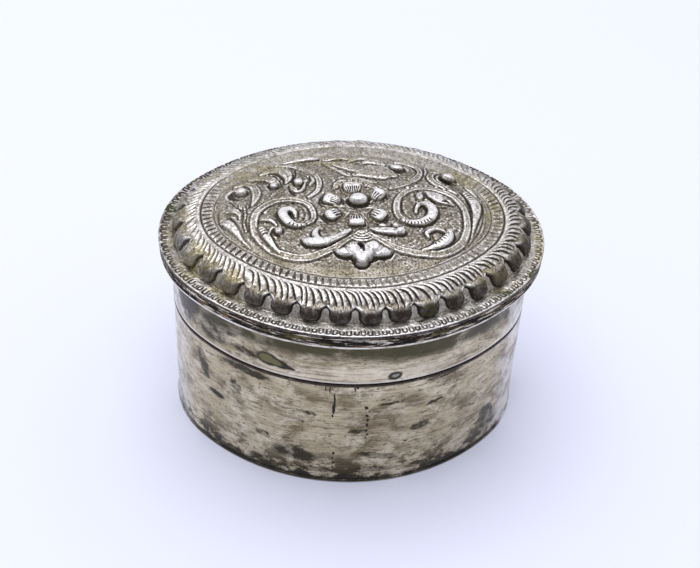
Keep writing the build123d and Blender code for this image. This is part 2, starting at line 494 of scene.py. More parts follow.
def draw_scrolls(r):
    """Big left and right stems, then their thick curled ends."""
    left = [(1, -7.6), (-1.5, -9.7), (-4, -12.0), (-8, -14.0), (-11, -14.2), (-14.5, -12.8),
            (-17, -10.5), (-18.8, -7.5), (-19.2, -4.5), (-18.5, -1.5), (-15.5, 1.3), (-12, 1.9),
            (-9, 0.8), (-7.8, -1.8), (-8, -4.2), (-9.7, -5.7)]
    r.band(wide(left, 0.5, 0.9, 0.85, 0.75, 0.6, 0.5), 0.42)
    right = [(2, -7.4), (4, -9.0), (6, -10.6), (8, -11.8), (10, -12.4), (13, -12.7), (16.5, -12.3),
             (20, -9.8), (21.6, -6.5), (22, -3), (21.5, 1), (19.5, 4.3), (16.5, 5.9), (13.5, 6.2),
             (10.5, 5.0), (8.8, 2.5), (8.4, -1), (9.3, -3.6), (11.5, -4.8), (13.8, -4.3)]
    r.band(wide(right, 0.5, 0.8, 0.85, 0.7, 0.6, 0.7, 0.8), 0.5)
    r.groove([(9.9, 4.0), (9.4, 1.5), (9.6, -1.2), (10.6, -2.9), (12.3, -3.3), (13.6, -2.6)])
    r.leaf([(9.4, -4.0, 0.5), (11.2, -4.7, 0.75), (13.2, -4.5, 0.95), (14.8, -3.2, 1.05),
            (15.4, -1.2, 1.05), (14.8, 0.5, 0.9), (13.4, 1.1, 0.6), (12.4, 0.2, 0.4),
            (12.1, -1.4, 0.3)], 0.95, hatch=(0.0, 0.38, -1), step=0.6)
    r.leaf([(-9.5, -5.7, 0.4), (-11, -6.0, 0.65), (-12.5, -5.2, 0.9), (-13.4, -3.7, 1.0),
            (-13.7, -2.3, 1.0), (-12.7, -1.4, 0.85), (-11.5, -1.9, 0.6), (-11.2, -3.2, 0.3)], 1.0,
           hatch=(0.0, 0.3, 1), step=0.7)


def draw_left_scroll(r):
    """Leaves of the left scroll."""
    r.leaf([(-9.9, -9.6, 0.25), (-9.2, -10.3, 0.85), (-8, -10.8, 1.05), (-6, -10.7, 0.95),
            (-4, -9.8, 0.8), (-2.4, -8.6, 0.7), (-0.9, -7.1, 0.45)], 1.0)
    r.leaf([(-6.9, -10.3, 0.9), (-7.5, -8.9, 0.75), (-7.4, -7.6, 0.6), (-6.8, -6.8, 0.45),
            (-6.1, -6.9, 0.25)], 0.95)
    r.groove([(-4.8, -9.0), (-3.2, -8.1), (-1.6, -6.9)])
    r.groove([(-4.6, -10.6), (-2.9, -9.4), (-1.0, -8.0)], 0.1, 0.12)
    r.leaf([(-17.9, -6.2, 0.5), (-17.3, -7.5, 0.8), (-16.5, -9.2, 0.75), (-15.3, -11.3, 0.5),
            (-14.2, -12.7, 0.25)], 0.75, hatch=(0.0, 0.35, 0))
    r.leaf([(-16.2, -8.2, 0.25), (-16.1, -7.2, 0.28), (-15.5, -6.5, 0.28), (-14.8, -6.6, 0.22)], 0.4)
    r.ball(-14.4, -7.5, 0.75, 0.85, 0.75)
    r.leaf([(-18.2, -4.3, 0.2), (-16.8, -4.1, 0.45), (-15.6, -4.6, 0.35), (-14.9, -5.6, 0.2)], 0.35)
    r.groove([(-18.4, -5.2), (-18.2, -3.9), (-16.6, -3.6), (-15.4, -4.0)])
    r.groove([(-17.8, -2.4), (-16.6, -0.4), (-14.6, 0.6), (-12.2, 0.8), (-10.2, -0.2), (-9.4, -2.2),
              (-9.8, -4.2)], 0.12, 0.1)


def draw_left_end(r):
    """Left end of the field."""
    for shift in (0, 0.65):
        r.groove([(-21.5 + shift, 0.2), (-21.2 + shift, -2.5), (-21.4 + shift, -4.6),
                  (-20.9 + shift, -7.0)])
    r.leaf([(-26.0, -4.3, 0.3), (-24.6, -4.2, 0.9), (-23.4, -5.4, 1.0), (-22.4, -7.0, 0.65),
            (-21.4, -8.8, 0.3), (-19.8, -11.0, 0.2)], 0.5)
    r.pit([(-25.4, -3.4, 0.05), (-24.0, -2.8, 0.2), (-23.1, -3.7, 0.2), (-22.1, -6.2, 0.05)], 0.32, 0.2)
    r.groove([(-26.2, -1.0), (-25.7, -4.8), (-24.2, -8.4), (-21.6, -11.6), (-18.6, -14.0)])
    r.groove([(-25.4, -4.8), (-23.6, -8.6), (-20.8, -11.4), (-18.0, -13.0)], 0.12, 0.12)
    r.groove([(-24.0, 2.2), (-22.8, 0.2), (-21.2, -1.0), (-20.2, -0.2), (-19.9, 1.4)])
    r.leaf([(-24.6, -1.0, 0.3), (-23.2, -0.8, 0.7), (-22.2, -1.8, 0.5), (-21.9, -3.2, 0.2)], 0.3)
    r.band([(-23.2, 6.9, 0.35), (-21.4, 7.6, 0.6), (-19.7, 6.6, 0.8), (-18.9, 4.2, 0.9),
            (-19.2, 1.8, 0.6), (-19.7, 0.2, 0.3)], 0.45)
    r.pit([(-23.4, 5.6, 0.2), (-24.0, 4.4, 0.5), (-23.6, 3.3, 0.5), (-22.6, 2.7, 0.25),
           (-21.4, 2.9, 0.1)], 0.5, 0.25)
    r.ball(-21.9, 4.5, 1.15, 1.2, 1.25, turn=15)


def draw_back_left(r):
    """Leaves and buttons at the back left."""
    r.leaf([(-18.3, 11.2, 0.3), (-16.4, 12.1, 0.85), (-14.3, 11.7, 1.25), (-13.1, 10.2, 1.25),
            (-12.8, 8.7, 0.8), (-13.2, 7.5, 0.25)], 0.7, vein=0.12)
    r.pit([(-18.0, 10.6, 0.05), (-16.6, 10.5, 0.25), (-15.4, 10.2, 0.25), (-14.9, 9.2, 0.08)], 0.35,
          0.2)
    r.leaf([(-20.4, 9.3, 0.3), (-18.4, 9.3, 0.8), (-16.6, 8.8, 1.0), (-15.4, 7.8, 0.9),
            (-14.6, 6.5, 0.45)], 0.5)
    r.ball(-15.5, 6.4, 0.85, 0.95, 0.8)
    r.pit([(-16.6, 6.9, 0.05), (-16.5, 5.9, 0.2), (-15.8, 5.1, 0.1)], 0.3, 0.2)
    r.ball(-10.7, 7.4, 0.95, 0.95, 0.95)
    r.pit([(-11.3, 6.2, 0.08), (-10.4, 6.0, 0.2), (-9.6, 6.7, 0.08)], 0.3, 0.2)
    r.leaf([(-9.4, 7.6, 0.2), (-9.9, 5.4, 0.4), (-11.0, 4.6, 0.4), (-12.0, 5.2, 0.3)], 0.35)
    r.pit([(-12.6, 6.6, 0.05), (-12.4, 4.9, 0.12), (-11.4, 3.6, 0.25)], 0.35, 0.2)
    r.band(wide([(-15.2, 14.4), (-12.2, 13.5), (-9.6, 12.0), (-7.4, 10.2), (-6.6, 7.6), (-7.0, 5.0),
                 (-8.6, 3.0)], 0.3, 0.5, 0.6, 0.4), 0.35)
    r.groove([(-13.2, 12.6), (-11.2, 11.3), (-9.2, 9.8), (-8.3, 7.6)], 0.12, 0.14)
    r.groove([(-11.4, 11.9), (-11.3, 9.8), (-12.0, 8.2)], 0.14, 0.2)
    r.leaf([(-8.2, 9.6, 0.2), (-7.8, 8.2, 0.4), (-8.4, 6.8, 0.3)], 0.3)


def draw_back_middle(r):
    """Broad leaf at the back and its neighbours."""
    r.leaf([(-13.6, 15.7, 0.25), (-11, 16.3, 0.7), (-8.4, 16.8, 0.9), (-6.7, 17.0, 0.5)], 0.6)
    r.pit([(-7.6, 16.0, 0.05), (-6.7, 16.3, 0.2), (-6.4, 17.2, 0.1)], 0.35, 0.2)
    r.leaf([(-5.4, 16.2, 0.4), (-3.6, 17.0, 0.9), (-1.8, 17.2, 0.7), (-0.6, 16.6, 0.3)], 0.4)
    r.band([(-5.6, 14.6, 0.3), (-4.2, 13.2, 0.4), (-2.4, 11.4, 0.4), (-0.4, 9.7, 0.35),
            (2.2, 8.6, 0.35), (4.7, 7.7, 0.3)], 0.4)
    r.leaf([(-4.6, 14.6, 0.3), (-2.6, 13.8, 0.9), (-0.2, 12.8, 1.1), (1.2, 11.6, 0.7)], 0.45)
    r.leaf([(0.6, 10.6, 0.6), (2.6, 11.2, 1.7), (5.0, 11.5, 2.5), (7.0, 11.0, 2.2), (8.3, 10.6, 0.9)],
           0.55)
    for x, y in ((4.1, 11.8), (5.0, 11.2), (6.9, 11.8)):
        r.pit([(x, y + 0.5, 0.1), (x - 0.1, y - 0.5, 0.06)], 0.25, 0.15)
    r.leaf([(2.0, 14.9, 0.3), (3.4, 15.6, 0.8), (5.4, 15.4, 0.9), (6.6, 14.6, 0.4)], 0.4)
    r.pit([(0.6, 14.2, 0.1), (1.2, 15.2, 0.25), (2.2, 15.0, 0.1)], 0.3, 0.2)
    r.leaf([(-0.6, 15.4, 0.3), (0.8, 16.8, 0.8), (2.6, 17.0, 0.6), (3.6, 16.2, 0.3)], 0.45)


def draw_back_right(r):
    """Stems, knobs and leaves at the back right and down the right end."""
    r.band([(7.6, 6.0, 0.4), (10.2, 7.3, 0.7), (12.5, 9.2, 0.75), (13.6, 11.4, 0.65), (13.7, 13.0, 0.6),
            (12.8, 14.6, 0.6), (11.0, 15.6, 0.5), (9.0, 15.6, 0.35)], 0.45)
    r.pit([(7.7, 14.6, 0.1), (7.6, 13.2, 0.15), (8.3, 12.2, 0.1), (9.4, 11.9, 0.3), (10.6, 12.4, 0.4),
           (10.7, 13.8, 0.15)], 0.35, 0.25)
    r.ball(9.1, 13.3, 1.35, 0.95, 0.8, turn=-15)
    r.band([(17.6, 12.8, 0.35), (16.2, 12.2, 0.65), (15.7, 10.4, 0.8), (16.7, 8.4, 0.75),
            (18.6, 6.9, 0.55), (20.6, 5.2, 0.25)], 0.5)
    r.pit([(18.0, 12.2, 0.1), (17.8, 10.9, 0.4), (18.5, 9.7, 0.5), (19.8, 9.0, 0.55),
           (20.9, 9.3, 0.25)], 0.5, 0.25)
    r.ball(19.4, 10.7, 1.45, 1.0, 1.35, turn=-25)
    r.leaf([(14.9, 14.6, 0.2), (15.0, 13.0, 0.3), (14.7, 11.4, 0.2)], 0.3)
    for x in (10.9, 12.6, 14.6, 16.6, 18.2):
        r.ball(x, 7.1 - 0.06 * (x - 14.6) ** 2, 0.42, 0.38, 0.3, outline=0.08)
    r.leaf([(22.0, 6.2, 0.3), (23.3, 4.4, 0.9), (24.1, 2.2, 1.15), (24.1, -0.4, 0.85),
            (23.4, -3.6, 0.45), (22.6, -7.2, 0.2)], 0.6, hatch=(0.0, 0.22, 0))
    r.groove([(25.6, 3.4), (25.4, -1.0), (24.2, -5.4), (21.8, -9.6)])
    r.groove([(21.2, 6.2), (22.5, 3.4), (22.9, 0.8)], 0.14, 0.2)
    r.groove([(22.9, -1.6), (22.7, -5.2), (21.4, -8.8), (18.4, -11.8)], 0.12, 0.12)
    r.groove([(26.0, 0.0), (25.4, -4.0), (23.8, -8.0), (20.0, -12.2), (15.0, -14.6)], 0.12, 0.1)
    r.leaf([(22.6, 8.4, 0.2), (23.6, 7.2, 0.5), (24.6, 5.6, 0.3)], 0.25)


def draw_right_scroll(r):
    """Leaves inside the right scroll."""
    r.ball(13.1, 3.6, 0.75, 1.1, 0.35, outline=0.1)
    r.leaf([(14.4, 5.1, 0.3), (15.6, 4.0, 1.1), (16.9, 2.9, 1.35), (18.3, 2.0, 0.95), (19.6, 1.3, 0.3)],
           0.7)
    r.groove([(14.3, 4.9), (14.7, 3.4), (15.6, 2.2), (16.2, 1.4)])
    r.pit([(17.5, 1.9, 0.1), (18.2, 2.0, 0.28), (18.9, 1.7, 0.1)], 0.45, 0.15)
    r.pit([(15.2, 2.9, 0.1), (15.6, 2.0, 0.2), (16.2, 1.4, 0.08)], 0.3, 0.2)
    r.pit([(16.2, 0.6, 0.08), (17.2, 0.3, 0.28), (18.4, 0.5, 0.1)], 0.35, 0.2)
    r.leaf([(12.8, -11.8, 0.25), (15.0, -11.0, 0.65), (16.9, -9.7, 1.0), (18.0, -8.3, 1.0),
            (18.3, -6.9, 0.7), (17.9, -6.0, 0.3)], 0.95, hatch=(0.3, 0.9, 1))
    r.leaf([(17.6, -7.0, 0.3), (16.2, -6.3, 0.4), (14.8, -6.6, 0.45), (13.8, -7.6, 0.45),
            (14.1, -8.6, 0.3)], 0.65)
    r.pit([(14.9, -7.8, 0.2), (15.1, -8.9, 0.3), (14.6, -9.9, 0.1)], 0.2, 0.25)


def draw_small_leaf(r):
    """Small leaf under the right petal."""
    r.leaf([(3.0, -6.3, 0.25), (4.6, -7.0, 0.7), (6.4, -7.3, 0.95), (8.0, -7.4, 0.9)], 0.8, vein=0.1)
    r.ball(8.8, -7.4, 1.0, 0.95, 1.0)
    r.ball(7.9, -5.7, 0.8, 0.65, 0.75, turn=-40)
    r.ball(5.4, -5.6, 0.9, 0.5, 0.45, turn=-10)


def draw_bud_collar(r):
    """Collar between the flower and the bud."""
    r.leaf([(0.6, -7.2, 0.3), (1.4, -7.5, 0.75), (2.3, -7.1, 0.3)], 0.35)
    for low, reach in ((-8.5, 1.25), (-9.2, 1.7), (-9.9, 2.1)):
        r.leaf([(1.4 - reach, low + 0.75, 0.1), (1.4 - 0.5 * reach, low + 0.15, 0.17), (1.4, low, 0.18),
                (1.4 + 0.5 * reach, low + 0.15, 0.17), (1.4 + reach, low + 0.75, 0.1)], 0.35,
               outline=0.18)


def draw_bud(r):
    """Bud: a row of four lobes over a body with a blunt tip."""
    r.leaf([(1.3, -13.8, 2.5), (1.25, -14.7, 2.0), (1.2, -15.4, 1.3)], 1.3, outline=0.3)
    r.leaf([(-0.4, -13.4, 0.9), (-1.9, -13.5, 1.0), (-3.0, -13.2, 0.7), (-3.8, -12.7, 0.2)], 1.25,
           outline=0.3)
    r.leaf([(3.4, -13.4, 0.9), (4.9, -13.3, 1.05), (6.1, -13.2, 0.75), (6.9, -12.8, 0.2)], 1.3,
           outline=0.3)
    r.ball(-0.4, -12.5, 1.35, 1.35, 1.6, outline=0.25, hatch=0.55)
    r.ball(3.3, -12.4, 1.6, 1.5, 1.7, outline=0.25)
    r.leaf([(-0.4, -13.0, 0.7), (0.6, -14.6, 0.9), (1.25, -15.6, 0.75), (1.9, -14.6, 0.9),
            (3.1, -13.0, 0.7)], 1.6, outline=0.0)
    r.pit([(0.9, -11.0, 0.7), (1.2, -12.1, 0.45), (1.5, -13.6, 0.08)], 1.3, 0.2)


# A sepal: distances from the flower's middle and half widths
SEPAL = [(2.2, 0.25), (3.0, 0.3), (4.2, 0.12)]


def draw_flower(r):
    """Flower: scalloped backing, fan petal, five domed petals, sepals between them and the boss."""
    r.leaf([(-3.6, 6.0, 0.4), (-2.6, 7.4, 1.0), (0.2, 8.2, 1.3), (3.0, 7.5, 1.0), (4.6, 6.2, 0.4)], 0.3,
           outline=0.18)
    for number in range(9):
        c, s = turned(150 - 15 * number)
        r.groove([(0.1 + 3.4 * c, 3.7 + 3.6 * s), (0.1 + 4.4 * c, 3.7 + 4.8 * s)], 0.12, 0.14)
    r.petal(-0.1, 5.8, 1.6, 1.8, 0.9, 6, facing=92)
    r.petal(4.8, 3.4, 1.6, 1.3, 1.4, 3, facing=52)
    r.petal(4.75, -2.6, 1.6, 1.5, 1.15, 3)
    r.petal(0.5, -4.4, 1.6, 1.6, 1.15, 4)
    r.petal(-4.0, -2.7, 1.65, 1.4, 1.15, 3)
    r.petal(-4.2, 1.9, 1.75, 1.45, 1.05, 4)
    for angle in (28, -5, -60, -125, 178):
        c, s = turned(angle)
        sepal = [(FLOWER[0] + out * c, FLOWER[1] + out * s, half) for out, half in SEPAL]
        r.leaf(sepal, 0.3, outline=0.08)
    r.ball(*BOSS, 1.95, 1.5, 1.75, outline=0.3)


def draw_field():
    """The whole field; a later form covers what lies under it."""
    r = Relief()
    draw_scrolls(r)
    draw_left_scroll(r)
    draw_left_end(r)
    draw_back_left(r)
    draw_back_middle(r)
    draw_back_right(r)
    draw_right_scroll(r)
    draw_small_leaf(r)
    draw_bud_collar(r)
    draw_bud(r)
    draw_flower(r)
    r.stipple()
    return r


# Lid top

# Each lobe, hatch, punch mark and bead differs a little from the next one.
lobe_of_ray = np.round((np.arange(RAYS) / RAYS - FIRST_LOBE) * LOBES).astype(int) % LOBES
LOBE_WIDE = rng.uniform(-0.12, 0.08, LOBES)[lobe_of_ray]
LOBE_LONG = rng.uniform(-0.15, 0.25, LOBES)[lobe_of_ray]
LOBE_HIGH = rng.uniform(0.85, 1.1, LOBES)[lobe_of_ray]
LOBE_SHADE_AND_TARNISH = rng.uniform(0.72, 1.0, LOBES)[lobe_of_ray]
HATCH_STOP = 3.7 + rng.uniform(-0.5, 0.35, HATCHES)
HATCH_DARK = rng.uniform(0.45, 1.0, HATCHES)
HATCH_DEEP = rng.uniform(0.65, 1.2, HATCHES)
PUNCH_SHIFT = rng.uniform(-0.12, 0.12, PUNCHES)
PUNCH_TURN = rng.uniform(-0.12, 0.12, PUNCHES)
PUNCH_DEEP = rng.uniform(0.6, 1.05, PUNCHES)
PUNCH_IN = rng.uniform(-0.12, 0.12, PUNCHES)
PUNCH_LONG = rng.uniform(1.2, 1.8, PUNCHES)
BEAD_DEEP = rng.uniform(0.6, 1.1, BEADS)
BEAD_TURN = rng.uniform(-0.2, 0.2, BEADS)

# A lobe's half width, the height up the moulding where its round end starts, and that end's curve
LOBE_HALF = 1.97
LOBE_END = 1.5
LOBE_CURVE = 2.5

# How far down from the crest the hatching bends, how far it leans, and its line's width
HATCH_BEND = 4.3
HATCH_LEAN = 2.7
HATCH_LINE = 0.19

# A punch mark: inset of its round end and of the middle of its arms, radius and line width
PUNCH_END = 0.95
PUNCH_MIDDLE = 1.3
PUNCH_RADIUS = 0.4
PUNCH_LINE = 0.165

# Insets of the line beside the punched border, of the lines on both sides of the beads, of the
# ridge below them, and where the beads start and stop
BORDER_LINE = 3.0
BEAD_LOW_LINE = 8.36
BEAD_HIGH_LINE = 10.95
BEAD_RIDGE = 7.85
BEAD_START = (8.5, 8.8)
BEAD_STOP = (10.7, 10.4)

# Steps between rings on the border, on the moulding, on the beads and over the field
BORDER_STEP = 0.135
MOULDING_STEPS = 46
BEAD_STEP = 0.14
FIELD_STEP = 0.17 / 22.0
ROUGH_ROWS = 128

# The underside has every fourth ray, and its crown lies this far below the top's.
UNDER_STEP = 4
CROWN_SHEET = 1.15


def lobe_local(ray):
    """Distance along the moulding from the nearest lobe's middle."""
    pitch = ray["length"] / LOBES
    phase = (ray["run"] - FIRST_LOBE * ray["length"]) / pitch
    return (phase - np.round(phase)) * pitch, pitch


def repeats(ray, count):
    """Which repeat of a row each ray is in, and how far it lies from that repeat's middle."""
    pitch = ray["length"] / count
    phase = ray["run"] / pitch
    whole = np.floor(phase)
    return whole.astype(int) % count, (phase - whole - 0.5) * pitch


def back_share(ray):
    """1 at the back of the lid, 0 at the front and sides, for the softer work there."""
    return smooth(0.2, 0.9, ray["sin"])


def left_share(ray):
    """1 at the left end of the lid, 0 at the front, back and right."""
    return smooth(0.2, 0.9, -ray["cos"])


def lobe_relief(ray, x, half, u):
    """Lobes and the ground between them: push, share of the ground and outline."""
    end = np.clip((LOBE_END - u) / (LOBE_END + LOBE_LONG), 0, 1)
    lobe_half = (LOBE_HALF + LOBE_WIDE) * (1 - end**LOBE_CURVE) ** (1 / LOBE_CURVE)
    lobe_half = lobe_half + (half - lobe_half) * smooth(1.9, 3.3, u) ** 2
    q = np.abs(x) / np.maximum(lobe_half, 0.01)
    across = np.sqrt(np.clip(1 - np.minimum(q, 1) ** 2.4, 0, 1))
    bulge = LOBE_HIGH * (1 - 0.2 * back_share(ray)) * smooth(-0.3, 0.8, u) * smooth(3.9, 1.7, u)
    nose = np.sqrt(np.clip(1 - end**2.6, 0, 1))
    lobe = bulge * across * (0.25 + 0.75 * nose)
    gap = (0.28 - 0.3 * u) * smooth(3.5, 2.9, u)
    outside = smooth(0.96, 1.04, q) * smooth(3.4, 3.0, u)
    rim_line = bell((q - 1) * lobe_half, 0.13) * smooth(0.0, 0.4, u) * smooth(3.6, 3.0, u)
    return lobe * (1 - outside) + gap * outside - 0.15 * rim_line, outside, rim_line


def hatch_relief(ray, x, pitch, ends, w):
    """Curved hatching below the crest: number of the stroke, place across it, zone and line."""
    bend = np.sqrt(np.clip(1 - (1 - np.clip(w, 0, HATCH_BEND) / HATCH_BEND) ** 2, 0, 1))
    turn = ray["turn"]
    wobble = -0.5 * np.sin(3 * turn + 1) - 0.4 * np.sin(7 * turn + 2)
    wobble = wobble + 0.09 * np.sin(37 * turn + 1) + 0.08 * np.sin(53 * turn)
    wobble = wobble + 0.06 * np.sin(71 * turn + 4)
    lean = (HATCH_LEAN + 0.5 * np.sin(11 * turn)) * bend
    phase = (ray["run"] - lean) / (ray["length"] / HATCHES) + wobble
    number = np.floor(phase).astype(int) % HATCHES
    s = phase - np.floor(phase)
    stop = HATCH_STOP[number] - 1.0 * ends + 0.3 * np.cos(2 * math.pi * x / pitch)
    zone = smooth(stop + 0.2, stop - 0.25, w + 0.5 * s) * smooth(0.05, 0.3, w)
    line = bell(np.minimum(s, 1 - s) * ray["length"] / HATCHES, HATCH_LINE) * zone
    return number, s, zone, line


def moulding_relief(ray, u, total):
    """Lobes with tongues between them on the lower half, curved hatching on the upper half."""
    x, pitch = lobe_local(ray)
    ends = smooth(0.25, 0.9, np.abs(ray["cos"]))
    left = left_share(ray)
    w = total - u
    u = u / (1 + 0.3 * ends)
    lower, outside, rim_line = lobe_relief(ray, x, 0.5 * pitch, u)
    number, s, zone, line = hatch_relief(ray, x, pitch, ends, w)
    soft = 1 - 0.75 * back_share(ray)
    ridge = 0.26 * smooth(0.0, 0.22, s) * (1 - 0.65 * smooth(0.3, 1.0, s)) - 0.1
    push = lower + (zone * ridge * HATCH_DEEP[number] - 0.1 * line) * soft
    # Lower fronts of the lobes darkened: painted shade with tarnish, weaker towards the left end.
    tarnish_and_shade = LOBE_SHADE_AND_TARNISH * (1 - 0.6 * left) * (1 - outside) * smooth(3.3, 2.0, u)
    tarnish_and_shade = np.maximum(tarnish_and_shade, line * soft * HATCH_DARK[number] * (1 - 0.3 * left))
    tarnish_and_shade = np.maximum(tarnish_and_shade, 0.5 * rim_line)
    # The tongues between the lobes lie low but are given lift, so they come out bright: painted light.
    tongue = outside * smooth(0.1, 0.4, u) * (1 - rim_line)
    shine = zone * smooth(0.15, 0.35, s) * smooth(0.95, 0.6, s) * (1 - line)
    return push, tarnish_and_shade, np.maximum(0.85 * tongue, 0.68 * shine)


def border_relief(ray, inset):
    """Row of U-shaped punch marks, open towards the middle of the lid: push and tarnish."""
    number, x = repeats(ray, PUNCHES)
    back = back_share(ray)
    d = inset + PUNCH_IN[number] + 0.35 * back
    x = x * 1.08 + PUNCH_SHIFT[number] + PUNCH_TURN[number] * (d - PUNCH_MIDDLE)
    round_part = np.abs(np.hypot(x, d - PUNCH_END) - PUNCH_RADIUS)
    arms = np.hypot(np.abs(x) - PUNCH_RADIUS, np.maximum(d - PUNCH_LONG[number], 0))
    mark = PUNCH_DEEP[number] * bell(np.where(d < PUNCH_END, round_part, arms), PUNCH_LINE + 0.07 * back)
    line = 0.6 * bell(inset - BORDER_LINE, 0.12)
    tarnish_and_shade = (1.1 + 0.6 * back + 0.6 * left_share(ray)) * mark + 0.3 * line
    return -0.16 * mark - 0.1 * line, np.clip(tarnish_and_shade, 0, 1)


def bead_relief(ray, inset):
    """Ladder of beads between two chased lines: push and tarnish."""
    number, x = repeats(ray, BEADS)
    x = x * 0.82 + (0.22 + BEAD_TURN[number]) * (inset - 9.5)
    span = smooth(*BEAD_START, inset) * smooth(*BEAD_STOP, inset)
    strong = 0.45 + 0.55 * np.cos(ray["turn"] - math.radians(215)) ** 2
    gap = BEAD_DEEP[number] * strong * smooth(0.3, 0.5, np.abs(x)) * span
    dip = bell(np.hypot(x, 0.8 * (inset - 9.7)) - 0.28, 0.1) * span
    low = bell(inset - BEAD_LOW_LINE, 0.15)
    high = bell(inset - BEAD_HIGH_LINE, 0.12)
    soft = 1 - 0.7 * back_share(ray)
    push = 0.1 * span - 0.17 * gap - 0.05 * dip - 0.18 * low - 0.13 * high
    push = push + 0.08 * bell(inset - BEAD_RIDGE, 0.25)
    return push * soft, np.clip(0.9 * gap + 0.35 * dip + 0.8 * low + 0.6 * high, 0, 1) * soft


def add_underside(shell, edge, under):
    """One sheet below a softened copy of the top, joined to the top's outer edge."""
    rows = []
    for inset, z in ((0.1, -SHEET), (1.2, -SHEET), (3.2, -SHEET), (4.4, -SHEET + 0.05)):
        rows.append(shell.oval(under, inset, RIM + z))
    for angle in np.radians(np.arange(12, 91, 13)):
        z = RIM - SHEET + 0.05 + (MOULDING_RISE - 0.45) * math.sin(angle)
        rows.append(shell.oval(under, CREST + 0.2 - (MOULDING_RUN - 1.0) * math.cos(angle), z))
    field_x, field_y = ring(under, FIELD)
    for scale in np.arange(1.0, 0.05, -0.05):
        x, y = field_x * scale, field_y * scale
        rows.append(shell.add(x, y, RIM + (crown(inset_at(x, y)) - CROWN_SHEET)))
    a0, an = edge
    b0, bn = rows[0]
    i = np.arange(bn)
    a = UNDER_STEP * i
    for k in range(UNDER_STEP):
        shell.face(b0 + i, a0 + (a + k + 1) % an, a0 + a + k)
    shell.face(b0 + i, b0 + (i + 1) % bn, a0 + (a + UNDER_STEP) % an)
    for upper, lower in zip(rows, rows[1:]):
        shell.join(lower, upper)
    shell.close(rows[-1], 0.0, 0.0, RIM + crown(HALF_WIDTH) - CROWN_SHEET, under=True)


def make_lid_top():
    """Repousse sheet: edge, punched border, moulding, bead border, field and underside."""
    relief = draw_field()
    height_map = relief.height()
    lift_map = smooth(0.28, 0.9, relief.raised)
    ground_map = 1 - relief.worked
    ink_map = np.clip(0.85 * relief.ink + 0.55 * smooth(0.08, 0.3, relief.cut), 0, 1)
    rough = 0.02 * grit((ROUGH_ROWS, RAYS), 4) + 0.03 * grit((ROUGH_ROWS, RAYS), 60)
    ray = rays(RAYS)
    shell = Shell("tarnish_and_shade", "lift", "ground")
    rings = []

    def add(inset, z, out, up, push, tarnish_and_shade=0.0, lift=0.0):
        """Ring at a profile point, pushed along the profile's normal."""
        if inset > EDGE_ROUND:
            push = push + rough[len(rings)]
        x, y = ring(ray, inset - out * push)
        rings.append(shell.add(x, y, RIM + z + up * push, tarnish_and_shade=tarnish_and_shade, lift=lift))

    def surface(x, y):
        """Height of the finished field above the rim."""
        return crown(inset_at(x, y)) + relief.sample(height_map, x, y)

    # Edge and border
    for z in (-SHEET + 0.1, -0.5, -EDGE_ROUND):
        add(0.0, z, 0, 0, 0.0, 0.95)
    for angle in np.radians([68, 45, 22]):
        inset = EDGE_ROUND * (1 - math.sin(angle))
        add(inset, -EDGE_ROUND * (1 - math.cos(angle)), 0, 0, 0.0, 0.5 * (angle > 1))
    for inset in np.arange(EDGE_ROUND, MOULDING_FOOT - 0.05, BORDER_STEP):
        push, tarnish_and_shade = border_relief(ray, inset)
        add(inset, 0.0, 0, 1, push, tarnish_and_shade, 0.55 + 0.35 * smooth(3.0, 2.0, inset))

    # Moulding
    theta = np.radians(np.linspace(0, 90, MOULDING_STEPS + 1))
    insets = CREST - MOULDING_RUN * np.cos(theta)
    heights = MOULDING_RISE * np.sin(theta)
    climbs = np.concatenate([[0], np.cumsum(np.hypot(np.diff(insets), np.diff(heights)))])
    for angle, inset, z, climb in zip(theta, insets, heights, climbs):
        normal = np.array([MOULDING_RISE * math.cos(angle), MOULDING_RUN * math.sin(angle)])
        normal = normal / np.linalg.norm(normal)
        push, tarnish_and_shade, lift = moulding_relief(ray, climb, climbs[-1])
        ridge, _ = bead_relief(ray, inset)
        push = push + ridge * (inset > 7.2)
        add(inset, z, *normal, push, tarnish_and_shade, np.maximum(lift, 0.75 * (inset > 7.3)))

    # Bead border
    for inset in np.arange(CREST + BEAD_STEP, FIELD - 0.05, BEAD_STEP):
        push, tarnish_and_shade = bead_relief(ray, inset)
        add(inset, MOULDING_RISE, 0, 1, push, tarnish_and_shade, 0.25 + 0.5 * (inset < 8.2))

    # Field: ovals that shrink towards the boss, with fewer points as they get shorter
    edge_x, edge_y = ring(ray, FIELD)
    scale = 1.0
    current = RAYS
    while scale > 0.02:
        step = RAYS // current
        x = BOSS[0] + (edge_x[::step] - BOSS[0]) * scale
        y = BOSS[1] + (edge_y[::step] - BOSS[1]) * scale
        bare = relief.sample(ground_map, x, y) * smooth(FIELD + 1.3, FIELD + 2.1, inset_at(x, y))
        lift = relief.sample(lift_map, x, y)
        ink = relief.sample(ink_map, x, y)
        rings.append(shell.add(x, y, RIM + surface(x, y), tarnish_and_shade=ink, lift=lift, ground=bare))
        scale -= FIELD_STEP
        if scale < 0.56 * current / RAYS:
            current //= 2
    shell.skin(rings)
    middle = float(surface(*np.array(BOSS).reshape(2, 1))[0])
    shell.close(rings[-1], *BOSS, RIM + middle)

    add_underside(shell, rings[0], thin(ray, UNDER_STEP))
    piece = shell.build("lid_repousse_top")
    hollows(piece)
    return piece


def read(items, name, columns, kind):
    """Values of mesh items as rows of an array."""
    values = np.zeros(len(items) * columns, kind)
    items.foreach_get(name, values)
    return values.reshape(-1, columns)


